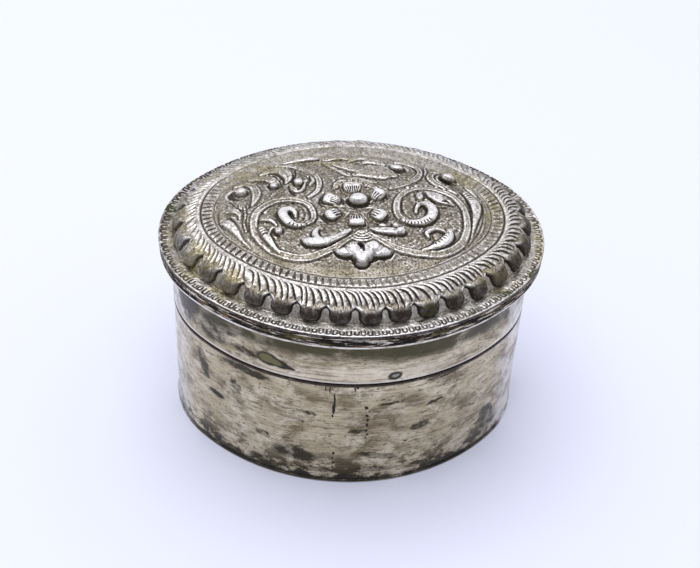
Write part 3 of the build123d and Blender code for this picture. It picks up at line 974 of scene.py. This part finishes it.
def hollows(piece):
    """Stores how deep each point lies below the work around it, for the tarnish."""
    mesh = piece.data
    count = len(mesh.vertices)
    places = read(mesh.vertices, "co", 3, float) / MM
    normal = read(mesh.vertex_normals, "vector", 3, np.float32)
    start, end = read(mesh.edges, "vertices", 2, np.int64).T
    degree = (np.bincount(start, minlength=count) + np.bincount(end, minlength=count)).astype(float)

    def spread(points):
        """Mean of the neighbours of each point."""
        out = np.empty_like(points)
        for axis in range(3):
            total = np.bincount(start, points[end, axis], count)
            total += np.bincount(end, points[start, axis], count)
            out[:, axis] = total / degree
        return out

    slope = np.hypot(normal[:, 0], normal[:, 1])
    store(piece, "steep", smooth(0.2, 1.0, slope) * (places[:, 2] > RIM + 0.05))
    around = places
    for name, passes in (("fine", 6), ("broad", 60)):
        for _ in range(passes):
            around = spread(around)
        store(piece, name, np.einsum("ij,ij->i", around - places, normal))


# Plain sheet pieces

# Rays of a wall or plate, and how the waves of a wall's dents are laid out round it
SHEET_RAYS = 640
DENT_RADIUS = 26
DENT_SCALE = 3.2
DENT_FADE = 2


def waviness(x, y, scale, seed):
    """Slow, seeded unevenness of hand-worked sheet, from -1 to 1."""
    draw = np.random.default_rng(seed)
    total = 0
    for _ in range(7):
        angle = draw.uniform(0, 2 * math.pi)
        wave = draw.uniform(0.6, 1.6) / scale
        total = total + np.sin(wave * (x * math.cos(angle) + y * math.sin(angle)) + draw.uniform(0, 6.3))
    return total / 7


def face_outward(piece):
    """Turns the faces outward where the ring order left them inward."""
    bm = bmesh.new()
    bm.from_mesh(piece.data)
    bmesh.ops.recalc_face_normals(bm, faces=bm.faces)
    bm.to_mesh(piece.data)
    bm.free()
    return piece


def corner(inset, z, inward, upward, angles, across=False):
    """Profile points round a corner. Inward and upward are the rounding, each with its sign."""
    points = []
    for angle in angles:
        c, s = turned(angle)
        if across:
            c, s = s, c
        points.append((inset + inward * (1 - c), z + upward * (1 - s), False))
    return points


def wall(name, outer, inner, low, high, step, rounding, dent, seed, count=SHEET_RAYS):
    """Upright closed ring of sheet with softened edges and slight dents outside."""
    ray = rays(count)
    shell = Shell()
    rings = []
    levels = np.append(np.arange(low + rounding, high - rounding, step), high - rounding)
    profile = [(outer, z, True) for z in levels]
    profile += corner(outer, high, rounding, -rounding, (30, 60, 90))
    profile += corner(inner, high, -rounding, -rounding, (0, 30, 60, 90), across=True)
    profile += [(inner, z, False) for z in levels[::-3]]
    profile += corner(inner, low, -rounding, rounding, (0, 30, 60, 90))
    profile += corner(outer, low, rounding, rounding, (0, 30, 60), across=True)
    for inset, z, dented in profile:
        if dented:
            x, y = ring(ray, inset)
            around = np.arctan2(y, x)
            x, y = DENT_RADIUS * np.cos(around) + 0.8 * z, DENT_RADIUS * np.sin(around) + z
            fade = smooth(low, low + DENT_FADE, z) * smooth(high, high - DENT_FADE, z)
            inset = inset + dent * (0.5 + 0.5 * waviness(x, y, DENT_SCALE, seed)) * fade
        rings.append(shell.oval(ray, inset, z))
    shell.skin(rings, wrap=True)
    return face_outward(shell.build(name))


def plate(name, inset, low, high, rounding, inner=None):
    """Flat plate with a rounded edge, whole or with an oval opening."""
    ray = rays(SHEET_RAYS)
    shell = Shell()
    rings = []
    for angle in np.radians(np.arange(-90, 91, 22.5)):
        c, s = math.cos(angle), math.sin(angle)
        middle = high - rounding if s > 0 else low + rounding
        rings.append(shell.oval(ray, inset + rounding * (1 - c), middle + rounding * s))
    if inner:
        rings += [shell.oval(ray, inner, z) for z in (high, low)]
        shell.skin(rings, wrap=True)
    else:
        shell.skin(rings)
        x, y = ring(ray, inset + rounding)
        for z, edge in ((high, rings[-1]), (low, rings[0])):
            rows = [edge] + [shell.add(x * scale, y * scale, z) for scale in (0.9, 0.6, 0.3)]
            shell.skin(rows)
            shell.close(rows[-1], 0.0, 0.0, z)
    return face_outward(shell.build(name))


# Materials

class Value:
    """Output of a node, which can be added to, subtracted from and multiplied."""

    def __init__(self, nodes, socket):
        self.nodes = nodes
        self.socket = socket

    def __add__(self, other):
        return self.nodes.math("ADD", self, other)

    def __sub__(self, other):
        return self.nodes.math("SUBTRACT", self, other)

    def __mul__(self, other):
        return self.nodes.math("MULTIPLY", self, other)


class Nodes:
    """Short way to write a material's nodes."""

    def __init__(self, name):
        self.material = bpy.data.materials.new(name)
        self.material.use_nodes = True
        self.tree = self.material.node_tree
        self.tree.nodes.clear()
        out = self.tree.nodes.new("ShaderNodeOutputMaterial")
        self.shader = self.tree.nodes.new("ShaderNodeBsdfPrincipled")
        self.tree.links.new(self.shader.outputs[0], out.inputs[0])
        self.place = Value(self, self.tree.nodes.new("ShaderNodeTexCoord").outputs["Object"])

    def put(self, value, socket):
        """Links a value to a socket, or sets the socket to a number, a vector or a colour."""
        if isinstance(value, Value):
            self.tree.links.new(value.socket, socket)
        elif socket.type == "RGBA":
            socket.default_value = (*value, 1.0)
        else:
            socket.default_value = value

    def node(self, kind, inputs, output=0, **settings):
        """New node with its settings and inputs; gives one of its outputs."""
        node = self.tree.nodes.new("ShaderNode" + kind)
        for name, value in settings.items():
            setattr(node, name, value)
        for name, value in inputs.items():
            self.put(value, node.inputs[name])
        return Value(self, node.outputs[output])

    def math(self, kind, a, b=0.5, clamp=False):
        return self.node("Math", {0: a, 1: b}, operation=kind, use_clamp=clamp)

    def clamped(self, a, b):
        """Product held between 0 and 1."""
        return self.math("MULTIPLY", a, b, True)

    def most(self, a, b):
        return self.math("MAXIMUM", a, b)

    def distance(self, value, middle):
        return self.math("ABSOLUTE", value - middle)

    def mix(self, share, a, b):
        """Colour a where the share is 0 and colour b where it is 1."""
        return self.node("Mix", {"Factor": share, 6: a, 7: b}, 2, data_type="RGBA")

    def layers(self, colour, *layers):
        """Lays colours over one another, each with its share."""
        for share, over in layers:
            colour = self.mix(share, colour, over)
        return colour

    def attribute(self, name):
        return self.node("Attribute", {}, "Fac", attribute_name=name)

    def scaled(self, scale=(1, 1, 1), turn=(0, 0, 0)):
        """Object coordinates in millimetres times a scale."""
        sizes = [PER_METRE * s for s in scale]
        angles = [math.radians(t) for t in turn]
        return self.node("Mapping", {"Vector": self.place, "Scale": sizes, "Rotation": angles})

    def noise(self, scale, detail=3.0, rough=0.55, turn=(0, 0, 0), twist=0.0):
        scale = scale if isinstance(scale, tuple) else (scale, scale, scale)
        inputs = {"Vector": self.scaled(scale, turn), "Scale": 1.0, "Detail": detail}
        inputs.update({"Roughness": rough, "Distortion": twist})
        return self.node("TexNoise", inputs, "Fac")

    def ramp(self, value, low, high, a=0.0, b=1.0):
        """Soft step that is a where the value is low and b where it is high."""
        inputs = {"Value": value, "From Min": low, "From Max": high, "To Min": a, "To Max": b}
        return self.node("MapRange", inputs, interpolation_type="SMOOTHSTEP")

    def axes(self):
        """Object x, y and z in millimetres."""
        parts = self.tree.nodes.new("ShaderNodeSeparateXYZ")
        self.put(self.scaled(), parts.inputs[0])
        return [Value(self, output) for output in parts.outputs]

    def front(self, axes, scale, amount):
        """Place on the front wall: x, z and, at the back only, a large y, with a ragged edge."""
        x, y, z = axes
        flat = self.node("CombineXYZ", {0: x, 1: self.most(y, 0.0) * 50.0, 2: z})
        ragged = self.node("TexNoise", {"Vector": self.scaled(), "Scale": scale, "Detail": 3.0}, "Color")
        spread = (3 * amount, 0, 3 * amount)
        start = (-1.5 * amount, 0, -1.5 * amount)
        shift = self.node("VectorMath", {0: ragged, 1: spread, 2: start}, operation="MULTIPLY_ADD")
        return self.node("VectorMath", {0: flat, 1: shift})

    def plan(self, axes, scale, amount):
        """Place seen from above, with y in the third slot and a ragged edge."""
        flat = self.node("CombineXYZ", {0: axes[0], 2: axes[1]})
        return self.node("VectorMath", {0: flat, 1: (self.noise(scale) - 0.5) * amount})

    def gather(self, place, spots, outer, inner):
        """1 inside any of the oval spots, 0 outside them all."""
        result = None
        for x, z, rx, rz, turn in spots:
            angles = (0, -math.radians(turn), 0)
            inputs = {"Vector": place, "Location": (x, 0, z), "Rotation": angles, "Scale": (rx, 1, rz)}
            fitted = self.node("Mapping", inputs, vector_type="TEXTURE")
            length = self.node("VectorMath", {0: fitted}, "Value", operation="LENGTH")
            mask = self.ramp(length, outer, inner)
            result = mask if result is None else self.most(result, mask)
        return result

    def bump(self, height, strength, distance):
        inputs = {"Strength": strength, "Distance": distance, "Height": height}
        self.put(self.node("Bump", inputs), self.shader.inputs["Normal"])

    def finish(self, colour, metal, rough):
        self.put(colour, self.shader.inputs["Base Color"])
        self.put(metal, self.shader.inputs["Metallic"])
        self.put(rough, self.shader.inputs["Roughness"])
        return self.material


# Patches of olive and green tarnish on the lid: middle x and y, half sizes, turn in degrees
OLIVE = [
    (-30.5, -12.5, 5.5, 3.6, -35), (-24.0, -18.5, 4.5, 2.4, -25), (-34.5, 0.0, 2.6, 7.0, 0),
    (-19.5, 11.5, 6.0, 4.0, 20), (-30.0, 14.0, 3.5, 5.0, 40), (27.5, 1.5, 2.4, 6.0, 0),
    (22.5, 11.0, 4.6, 2.2, -35), (37.0, -3.0, 1.6, 8.0, 0), (27.0, -15.5, 5.0, 2.6, 30),
    (-3.0, 15.0, 6.0, 2.5, 10),
]
GREEN = [
    (13.0, -25.2, 2.2, 1.1, 5), (28.5, -17.8, 1.5, 1.1, 30), (22.0, -22.8, 1.2, 0.8, 20),
    (-36.2, 6.5, 1.6, 4.0, 5), (34.6, -12.0, 0.8, 2.4, -25),
]


def lid_silver():
    """Worn relief: rubbed bright where it is high, black where it is deep, with painted shade on the
    lobes' lower fronts and painted light on the tongues between them.
    """
    n = Nodes("worn_relief_silver")
    names = ("fine", "broad", "steep", "lift", "ground", "tarnish_and_shade")
    fine, broad, steep, lift, bare, tarnish_and_shade = [n.attribute(name) for name in names]
    axes = n.axes()
    x = axes[0]
    patches = n.noise(0.12, 4.0, 0.6)
    small = n.noise(0.8, 4.0, 0.65)
    grain = n.noise(2.4, 3.0, 0.7)
    speck = n.noise(1.5, 3.0, 0.6, turn=(20, 40, 60))

    # Where the tarnish stays and where it is rubbed off; lift also brings out the tongues of the moulding
    # bright, as painted light.
    hollow = n.ramp(fine, 0.012, 0.075) + n.ramp(broad, 0.12, 0.55) * 0.55
    hollow = hollow + n.ramp(steep, 0.55, 0.95) * 0.3 - lift * 0.45
    hollow = n.clamped(hollow, n.ramp(small, 0.3, 0.65, 0.6, 1.1))
    hollow = hollow * n.ramp(x, -12.0, -27.0, 0.9, 0.45)
    worn = n.ramp(fine, -0.01, -0.055) + n.ramp(broad, -0.04, -0.45)
    worn = worn + lift * 0.75 - steep * 0.4
    worn = n.clamped(worn, n.ramp(small, 0.38, 0.58, 0.4, 1.1))
    worn = n.clamped(worn, n.ramp(grain, 0.38, 0.52, 0.5, 1.0))
    worn = n.most(worn, n.ramp(lift, 0.92, 1.0, 0.0, 0.85) * n.ramp(steep, 0.8, 0.5))
    plan = n.plan(axes, 0.35, 9.0)
    olive = n.gather(plan, OLIVE, 1.3, 0.5)
    green = n.gather(plan, GREEN, 1.25, 0.6)
    sides = n.ramp(n.distance(x, 3.0), 9.0, 38.0, 0.0, 0.42) * n.ramp(x, -29.0, -21.0, 0.2, 1.0)

    ground = n.layers(
        n.mix(n.ramp(patches, 0.42, 0.62), (0.43, 0.385, 0.32), (0.28, 0.24, 0.17)),
        (bare * 0.5, (0.15, 0.13, 0.10)),
        (sides, (0.14, 0.122, 0.085)),
        (olive * 0.9, (0.36, 0.31, 0.18)),
        (n.ramp(small, 0.50, 0.62, 0.0, 0.4), (0.62, 0.585, 0.535)),
        (n.ramp(grain, 0.48, 0.58, 0.0, 0.75), (0.07, 0.058, 0.045)),
    )
    shine = n.mix(sides, (0.91, 0.875, 0.865), (0.60, 0.535, 0.42))
    shine = n.mix(olive, shine, (0.52, 0.47, 0.35))
    colour = n.layers(
        n.mix(worn, ground, shine),
        (n.ramp(x, -30.5, -36.5) * n.ramp(small, 0.40, 0.56, 0.0, 0.8), (0.10, 0.085, 0.06)),
        (n.ramp(speck, 0.60, 0.68, 0.0, 0.8), (0.06, 0.048, 0.036)),
    )
    # Near-black over the lobes' lower fronts, where it is painted shade with tarnish, and over the chased
    # and punched marks, where it is tarnish.
    nose = n.mix(n.most(olive, sides), (0.036, 0.024, 0.018), (0.11, 0.088, 0.05))
    colour = n.layers(
        colour,
        (n.ramp(tarnish_and_shade, 0.0, 0.8) * n.ramp(small, 0.62, 0.42, 0.88, 1.0), nose),
        (hollow, (0.026, 0.021, 0.015)),
        (green * n.ramp(small, 0.40, 0.55, 0.25, 0.95), (0.05, 0.06, 0.018)),
    )
    rough = n.ramp(worn, 0.0, 1.0, 0.46, 0.25) + tarnish_and_shade * 0.15
    n.bump(grain * 0.8 + small, 0.7, 0.00014)
    n.shader.inputs["Specular IOR Level"].default_value = 0.15
    return n.finish(colour, n.ramp(tarnish_and_shade, 0.3, 0.8, 0.87, 0.25), rough)


# Marks on the front of the walls: middle x and z, half sizes, turn in degrees. The three tall marks near
# the skirt's left end, at x -27 to -32.5 and z 33 to 35, are painted dark reflection.
SMEARS = [
    (-20.5, 26.4, 4.6, 1.0, -4), (17.6, 27.4, 3.4, 0.9, 4), (13.7, 14.6, 2.0, 1.1, 15),
    (1.0, 15.1, 1.6, 0.7, 12), (-17.1, 10.4, 1.4, 0.9, -20), (-11.2, 7.2, 4.6, 2.0, -12),
    (-16.8, 2.6, 3.6, 1.4, -5), (6.0, 7.6, 4.4, 0.9, -15), (28.6, 7.0, 1.7, 4.6, 8),
    (-27.0, 33.0, 3.0, 3.2, 30), (-31.0, 35.0, 1.6, 4.0, 0), (24.0, 36.0, 4.6, 1.0, 6),
    (8.0, 22.6, 2.8, 0.4, 3), (-8.6, 19.6, 2.2, 0.5, -6), (16.4, 20.4, 1.8, 0.5, 10),
    (-22.5, 20.6, 0.9, 1.8, 20), (-29.0, 22.0, 1.0, 4.0, 10), (30.0, 35.5, 0.7, 2.4, 0),
    (-24.0, 35.0, 4.0, 1.5, 25), (-32.5, 33.5, 1.2, 3.2, 10), (-20.5, 31.6, 2.6, 0.9, -15),
    (5.5, 3.6, 4.0, 0.8, -4), (-6.0, 3.4, 3.4, 0.8, 4),
]
PITS = [
    (-3.3, 23.4, 0.22, 2.8, 1), (-3.45, 21.4, 0.34, 1.6, 0), (-5.1, 27.0, 0.14, 0.8, 0),
    (-4.3, 26.6, 0.14, 1.0, 0), (0.5, 27.1, 0.2, 0.8, 3), (1.0, 27.6, 0.3, 0.5, 0),
    (-3.1, 8.6, 0.28, 0.4, 0), (-3.3, 7.2, 0.22, 0.35, 0), (-3.0, 5.8, 0.3, 0.35, 0),
    (-3.2, 4.4, 0.26, 0.4, 0), (-26.4, 15.4, 1.7, 0.85, -12), (-9.4, 16.9, 0.4, 0.25, 0),
    (11.2, 10.9, 0.45, 0.25, 10), (2.9, 21.8, 0.45, 0.4, 0), (3.5, 20.8, 0.2, 0.3, 0),
    (3.1, 19.6, 0.32, 0.4, 0), (3.3, 18.4, 0.26, 0.45, 0), (3.2, 17.0, 0.3, 0.55, 0),
    (3.1, 15.4, 0.34, 0.36, 0), (3.3, 14.2, 0.3, 0.3, 0), (3.1, 13.2, 0.26, 0.26, 0),
    (-3.6, 19.4, 0.2, 0.5, 8),
]

# The olive drop on the skirt with its paler middle, and the ringed spot with its middle
DROP = [(-16.2, 31.8, 2.3, 1.75, -10), (-14.4, 31.4, 2.6, 1.15, -14), (-12.6, 30.9, 1.8, 0.5, -12)]
DROP_MIDDLE = [(-16.4, 31.85, 1.6, 1.15, -10), (-15.1, 31.5, 1.7, 0.75, -16)]
SPOT = [(8.0, 30.1, 1.5, 1.15, 12)]
SPOT_MIDDLE = [(8.1, 30.15, 0.8, 0.42, 12)]


def wall_silver():
    """Scratched and clouded silver with the marks that the front shows, and painted shade and painted
    reflections.
    """
    n = Nodes("scratched_wall_silver")
    axes = n.axes()
    x, z = axes[0], axes[2]
    blotch = n.noise((0.11, 0.11, 0.17), 5.0, 0.65, twist=0.6)
    cloud = n.noise((0.20, 0.20, 0.26), 6.0, 0.72)
    streak = n.noise((0.06, 0.06, 2.2), 5.0, 0.7, turn=(1.5, -1.0, 0))
    scratch = n.noise((0.16, 0.16, 6.0), 3.0, 0.8, turn=(-2.0, 1.5, 0))
    fleck = n.noise((0.45, 0.45, 2.0), 5.0, 0.78, twist=0.5)
    spot = n.noise((0.9, 0.9, 1.5), 3.0, 0.6, turn=(30, 10, 0))
    grain = n.noise(2.2, 3.0, 0.6)
    colour = n.layers(
        n.mix(n.ramp(blotch, 0.42, 0.62), (0.50, 0.42, 0.265), (0.20, 0.152, 0.074)),
        (n.ramp(cloud, 0.46, 0.66, 0.0, 0.7), (0.80, 0.72, 0.53)),
        (n.ramp(streak, 0.50, 0.62, 0.0, 0.32), (0.11, 0.085, 0.055)),
        (n.ramp(scratch, 0.56, 0.66, 0.0, 0.45), (0.86, 0.79, 0.64)),
        (n.ramp(fleck, 0.54, 0.62, 0.0, 0.85), (0.085, 0.06, 0.035)),
        (n.ramp(spot, 0.62, 0.68, 0.0, 0.8), (0.05, 0.036, 0.022)),
        (n.ramp(z, 10.5, 2.5) * n.ramp(cloud, 0.53, 0.46, 0.0, 1.0), (0.05, 0.038, 0.014)),
    )

    # Darker foot, painted shade under the rim, painted reflection at the pale ends and on the pale strip
    # over the seam, painted dark reflection on the left shoulder
    foot = n.ramp(z + (cloud - 0.5) * 7.0, 2.4, 1.2, 0.0, 0.9)
    # Painted shade on the skirt under the rim plate, reaching lower towards the right.
    shade = n.ramp(z + n.ramp(x, -2.0, 16.0, 0.0, 1.2), 33.4, 36.2)
    shade = shade * n.ramp(blotch, 0.36, 0.50, 0.5, 1.0) * 0.95
    # Painted reflection: pale bands at both ends of the walls.
    ends = n.ramp(n.distance(x, -1.2), 29.0, 35.4, 0.0, 0.6) * n.ramp(cloud, 0.38, 0.58, 0.1, 1.0)
    # Painted reflection: pale band across the lower part of the skirt.
    reflection_strip = n.ramp(z, 28.6, 29.6) * n.ramp(z, 34.0, 31.2) * n.ramp(n.distance(x, 1.0), 23.0, 15.0)
    reflection_strip = reflection_strip * n.ramp(streak, 0.58, 0.46, 0.0, 0.5)
    # Painted dark reflection on the skirt towards its left end.
    left = n.ramp(x, -22.0, -32.0, 0.0, 0.6) * n.ramp(z, 29.0, 32.5) * n.ramp(cloud, 0.56, 0.44, 0.3, 1.0)
    colour = n.layers(
        colour,
        (foot, (0.022, 0.018, 0.012)),
        (shade, (0.045, 0.038, 0.010)),
        (ends, (0.84, 0.80, 0.77)),
        (reflection_strip, (0.88, 0.78, 0.60)),
        (left, (0.05, 0.042, 0.02)),
    )

    # Marks of the front, painted shade in the gap at the seam and the rubbed edges
    smear = n.gather(n.front(axes, 0.9, 0.45), SMEARS, 1.2, 0.75) * n.ramp(cloud, 0.44, 0.60, 1.0, 0.5)
    near = n.front(axes, 1.6, 0.14)
    pits = n.gather(near, PITS, 1.15, 0.7)
    drop = n.gather(near, DROP, 1.12, 0.8)
    drop_middle = n.gather(near, DROP_MIDDLE, 1.15, 0.7)
    ringed = n.gather(near, SPOT, 1.15, 0.75)
    ringed_middle = n.gather(near, SPOT_MIDDLE, 1.25, 0.7)
    # Painted shade: dark line along the top of the body wall, in the gap under the lid.
    gap = n.ramp(n.distance(z, SEAM_LOW - 0.22), 0.42, 0.22) * n.ramp(fleck, 0.3, 0.5, 0.7, 1.0)
    edges = n.ramp(n.distance(z, SEAM_HIGH + 0.3), 0.35, 0.12) + n.ramp(z, 0.45, 0.2)
    colour = n.layers(
        colour,
        (smear, (0.035, 0.027, 0.009)),
        (pits, (0.012, 0.01, 0.008)),
        (drop, (0.022, 0.02, 0.012)),
        (drop_middle, (0.145, 0.13, 0.05)),
        (ringed, (0.03, 0.026, 0.018)),
        (ringed_middle, (0.26, 0.25, 0.19)),
        (gap, (0.035, 0.024, 0.018)),
        (n.clamped(edges, 0.6), (0.80, 0.75, 0.68)),
    )
    rough = n.ramp(cloud, 0.3, 0.7, 0.42, 0.26)
    n.bump(scratch + grain * 0.4 - pits * 3.0, 0.3, 0.00006)
    n.shader.inputs["Coat Weight"].default_value = 0.3
    n.shader.inputs["Coat Roughness"].default_value = 0.22
    return n.finish(colour, 0.96, rough)


def edge_silver():
    """Rubbed lip of the rim."""
    n = Nodes("rubbed_lip_silver")
    cloud = n.noise((0.3, 0.3, 1.2), 5.0, 0.65)
    nick = n.noise((0.9, 0.9, 2.0), 4.0, 0.7)
    colour = n.mix(n.ramp(cloud, 0.42, 0.62), (0.86, 0.80, 0.72), (0.42, 0.37, 0.29))
    colour = n.mix(n.ramp(nick, 0.6, 0.68, 0.0, 0.7), colour, (0.10, 0.08, 0.05))
    n.bump(nick, 0.3, 0.00005)
    return n.finish(colour, 0.9, 0.3)


def dark_silver():
    """Dark band of the rim with bright scratches."""
    n = Nodes("dark_rim_silver")
    cloud = n.noise((0.22, 0.22, 0.9), 5.0, 0.65)
    line = n.noise((0.22, 0.22, 3.0), 4.0, 0.75)
    spots = n.noise((0.35, 0.35, 1.0), 4.0, 0.7, twist=0.5)
    colour = n.layers(
        n.mix(n.ramp(cloud, 0.50, 0.66), (0.014, 0.012, 0.01), (0.17, 0.135, 0.06)),
        (n.ramp(spots, 0.58, 0.66), (0.22, 0.115, 0.06)),
        (n.ramp(line, 0.555, 0.60, 0.0, 1.0), (0.84, 0.76, 0.64)),
    )
    n.bump(line + cloud, 0.4, 0.0001)
    n.shader.inputs["Specular IOR Level"].default_value = 0.1
    return n.finish(colour, 0.3, 0.7)


def plain_silver():
    """Satin silver of the collar, with a painted shade line where the lid ends, seen through the seam
    gap.
    """
    n = Nodes("satin_inner_silver")
    cloud = n.noise((0.1, 0.1, 0.2), 5.0, 0.6)
    streak = n.noise((0.08, 0.08, 3.0), 4.0, 0.7)
    height = n.axes()[2]
    colour = n.layers(
        n.mix(n.ramp(cloud, 0.4, 0.65), (0.6, 0.58, 0.54), (0.34, 0.31, 0.25)),
        (n.ramp(streak, 0.5, 0.68, 0.0, 0.5), (0.75, 0.73, 0.70)),
        # Painted shade where the seam gap between the body wall and the lid looks onto the collar.
        (n.ramp(n.distance(height, SEAM_HIGH - 0.15), 0.7, 0.3), (0.05, 0.035, 0.025)),
    )
    n.bump(streak, 0.25, 0.00004)
    return n.finish(colour, 0.92, 0.38)


def solder():
    """Dull solder with a pitted stretch in the middle of its height."""
    n = Nodes("pitted_solder")
    cloud = n.noise((1.2, 1.2, 0.9), 4.0, 0.7)
    height = n.axes()[2]
    open_part = n.ramp(n.distance(height, 16.8), 6.5, 4.2)
    colour = n.mix(n.ramp(cloud, 0.42, 0.6), (0.30, 0.25, 0.175), (0.17, 0.13, 0.075))
    colour = n.mix(n.ramp(cloud, 0.46, 0.54) * open_part, colour, (0.02, 0.017, 0.013))
    n.bump(cloud, 0.6, 0.0001)
    return n.finish(colour, 0.85, 0.45)


# Pieces

def dress(piece, material, body, slot, *nodes):
    """Gives a piece its material and its body, and hides the CAD nodes that it stands for. The slot is
    not used.
    """
    piece.data.materials.append(material)
    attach(piece, body)
    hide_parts(*nodes)


lid_metal = lid_silver()
wall_metal = wall_silver()
rim_metal = dark_silver()
inner_metal = plain_silver()
lip_metal = edge_silver()
seam_metal = solder()

dress(make_lid_top(), lid_metal, "lid", "silver_lid", "lid_top")

body_wall = wall(
    "plain_body_wall", WALL_INSET, WALL_INSIDE, BASE_TOP, SEAM_LOW,
    step=0.8, rounding=0.16, dent=0.09, seed=3,
)
dress(body_wall, wall_metal, "box", "silver_body", "body_wall")

skirt = wall(
    "plain_lid_skirt", WALL_INSET, SKIRT_INSIDE, SEAM_HIGH, BORDER_UNDER,
    step=0.8, rounding=0.16, dent=0.06, seed=5,
)
dress(skirt, wall_metal, "lid", "silver_body", "lid_skirt")

collar = wall(
    "inner_guide_collar", WALL_INSIDE, COLLAR_INSIDE, COLLAR_LOW, COLLAR_HIGH,
    step=2.0, rounding=0.15, dent=0.03, seed=9, count=SHEET_RAYS // 2,
)
dress(collar, inner_metal, "box", "silver_collar", "inner_collar")

band = wall(
    "dark_rim_band", RIM_BAND_INSET, RIM_BAND_INSIDE, RIM_PLATE_HIGH, BORDER_UNDER,
    step=0.25, rounding=0.05, dent=0.02, seed=11,
)
dress(band, rim_metal, "lid", "silver_dark", "rim_band")

rim_plate = plate(
    "lower_rim_plate", RIM_PLATE_INSET, RIM_PLATE_LOW, RIM_PLATE_HIGH,
    rounding=0.42, inner=WALL_INSET,
)
dress(rim_plate, lip_metal, "lid", "silver_lid", "rim_plate")

base = plate("base_sheet", BASE_INSET, 0.0, BASE_TOP, rounding=0.25)
dress(base, wall_metal, "box", "silver_body", "base_plate")

# The seams keep their CAD shape and only take a material.
for node, metal in (("wall_seam", wall_metal), ("collar_seam", seam_metal), ("skirt_seam", seam_metal)):
    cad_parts[node].data.materials.clear()
    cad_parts[node].data.materials.append(metal)


# Floor, light and camera, with lengths in metres

FLOOR_REACH = 3.0
PHOTO_WIDTH = 700
SENSOR_WIDTH = 36.0
FOCAL_PIXELS = 1427.0

# The fitted camera, in millimetres and degrees: its distance, angles, and shift beside its target
CAMERA_AWAY = 296.9
CAMERA_RISE = 42.0
CAMERA_ROLL = 3.04
CAMERA_YAW = 3.53
CAMERA_SHIFT = (-0.49, -6.82)
CAMERA_TARGET = (0, 0, 20)


def make_floor():
    mesh = bpy.data.meshes.new("studio_floor")
    corners = [(-1, -1), (1, -1), (1, 1), (-1, 1)]
    mesh.from_pydata([(FLOOR_REACH * x, FLOOR_REACH * y, 0) for x, y in corners], [], [(0, 1, 2, 3)])
    floor = add_object("studio_floor", mesh)
    material = bpy.data.materials.new("pale_floor")
    material.use_nodes = True
    shader = material.node_tree.nodes["Principled BSDF"]
    shader.inputs["Base Color"].default_value = (0.81, 0.825, 0.98, 1.0)
    shader.inputs["Roughness"].default_value = 0.7
    shader.inputs["Specular IOR Level"].default_value = 0.2
    mesh.materials.append(material)


def make_lamp(name, place, aim, size, power):
    data = bpy.data.lights.new(name, "AREA")
    data.shape = "RECTANGLE"
    data.size, data.size_y = size
    data.energy = power
    lamp = add_object(name, data)
    lamp.location = place
    lamp.rotation_euler = (Vector(aim) - Vector(place)).to_track_quat("-Z", "Y").to_euler()


def make_world():
    """White room: bright above and behind, dimmer in front where the viewer stands."""
    world = bpy.data.worlds.new("studio")
    bpy.context.scene.world = world
    world.use_nodes = True
    tree = world.node_tree
    tree.nodes.clear()
    kinds = "TexCoord SeparateXYZ MapRange Background Background LightPath MixShader OutputWorld".split()
    made = [tree.nodes.new("ShaderNode" + kind) for kind in kinds]
    direction, parts, depth, room, seen, path, mix, out = made
    depth.interpolation_type = "SMOOTHSTEP"
    for name, value in (("From Min", -0.95), ("From Max", 0.25), ("To Min", 0.38), ("To Max", 0.99)):
        depth.inputs[name].default_value = value
    room.inputs[0].default_value = (0.90, 0.93, 1.0, 1.0)
    seen.inputs[0].default_value = (0.92, 0.93, 1.0, 1.0)
    seen.inputs[1].default_value = 1.0
    for start, end in (
        (direction.outputs["Generated"], parts.inputs[0]),
        (parts.outputs[1], depth.inputs["Value"]),
        (depth.outputs[0], room.inputs[1]),
        (path.outputs["Is Camera Ray"], mix.inputs[0]),
        (room.outputs[0], mix.inputs[1]),
        (seen.outputs[0], mix.inputs[2]),
        (mix.outputs[0], out.inputs[0]),
    ):
        tree.links.new(start, end)


def make_camera():
    """Camera at the photo's angle, from the fit of the oval's outlines."""
    rise_cos, rise_sin = turned(CAMERA_RISE)
    roll_cos, roll_sin = turned(CAMERA_ROLL)
    forward = Vector((0, rise_cos, -rise_sin))
    up = Vector((0, rise_sin, rise_cos))
    right = Vector((1, 0, 0))
    rolled_right = roll_cos * right + roll_sin * up
    rolled_up = -roll_sin * right + roll_cos * up
    shift = CAMERA_SHIFT[0] * rolled_right
    place = Vector(CAMERA_TARGET) - shift - CAMERA_SHIFT[1] * rolled_up - CAMERA_AWAY * forward
    turn = Matrix.Rotation(-math.radians(CAMERA_YAW), 3, "Z")
    data = bpy.data.cameras.new("photo_camera")
    data.sensor_width = SENSOR_WIDTH
    data.lens = FOCAL_PIXELS / PHOTO_WIDTH * SENSOR_WIDTH
    data.clip_start, data.clip_end = 0.01, 20
    camera = add_object("photo_camera", data)
    basis = Matrix((turn @ rolled_right, turn @ rolled_up, turn @ -forward)).transposed()
    camera.matrix_world = Matrix.Translation(turn @ place * MM) @ basis.to_4x4()
    bpy.context.scene.camera = camera


make_floor()
make_world()
make_lamp("overhead_softbox", (-0.12, -0.02, 0.95), (0, 0, 0.03), (1.0, 0.8), 5.0)
make_camera()
bpy.context.scene.view_settings.view_transform = "Standard"
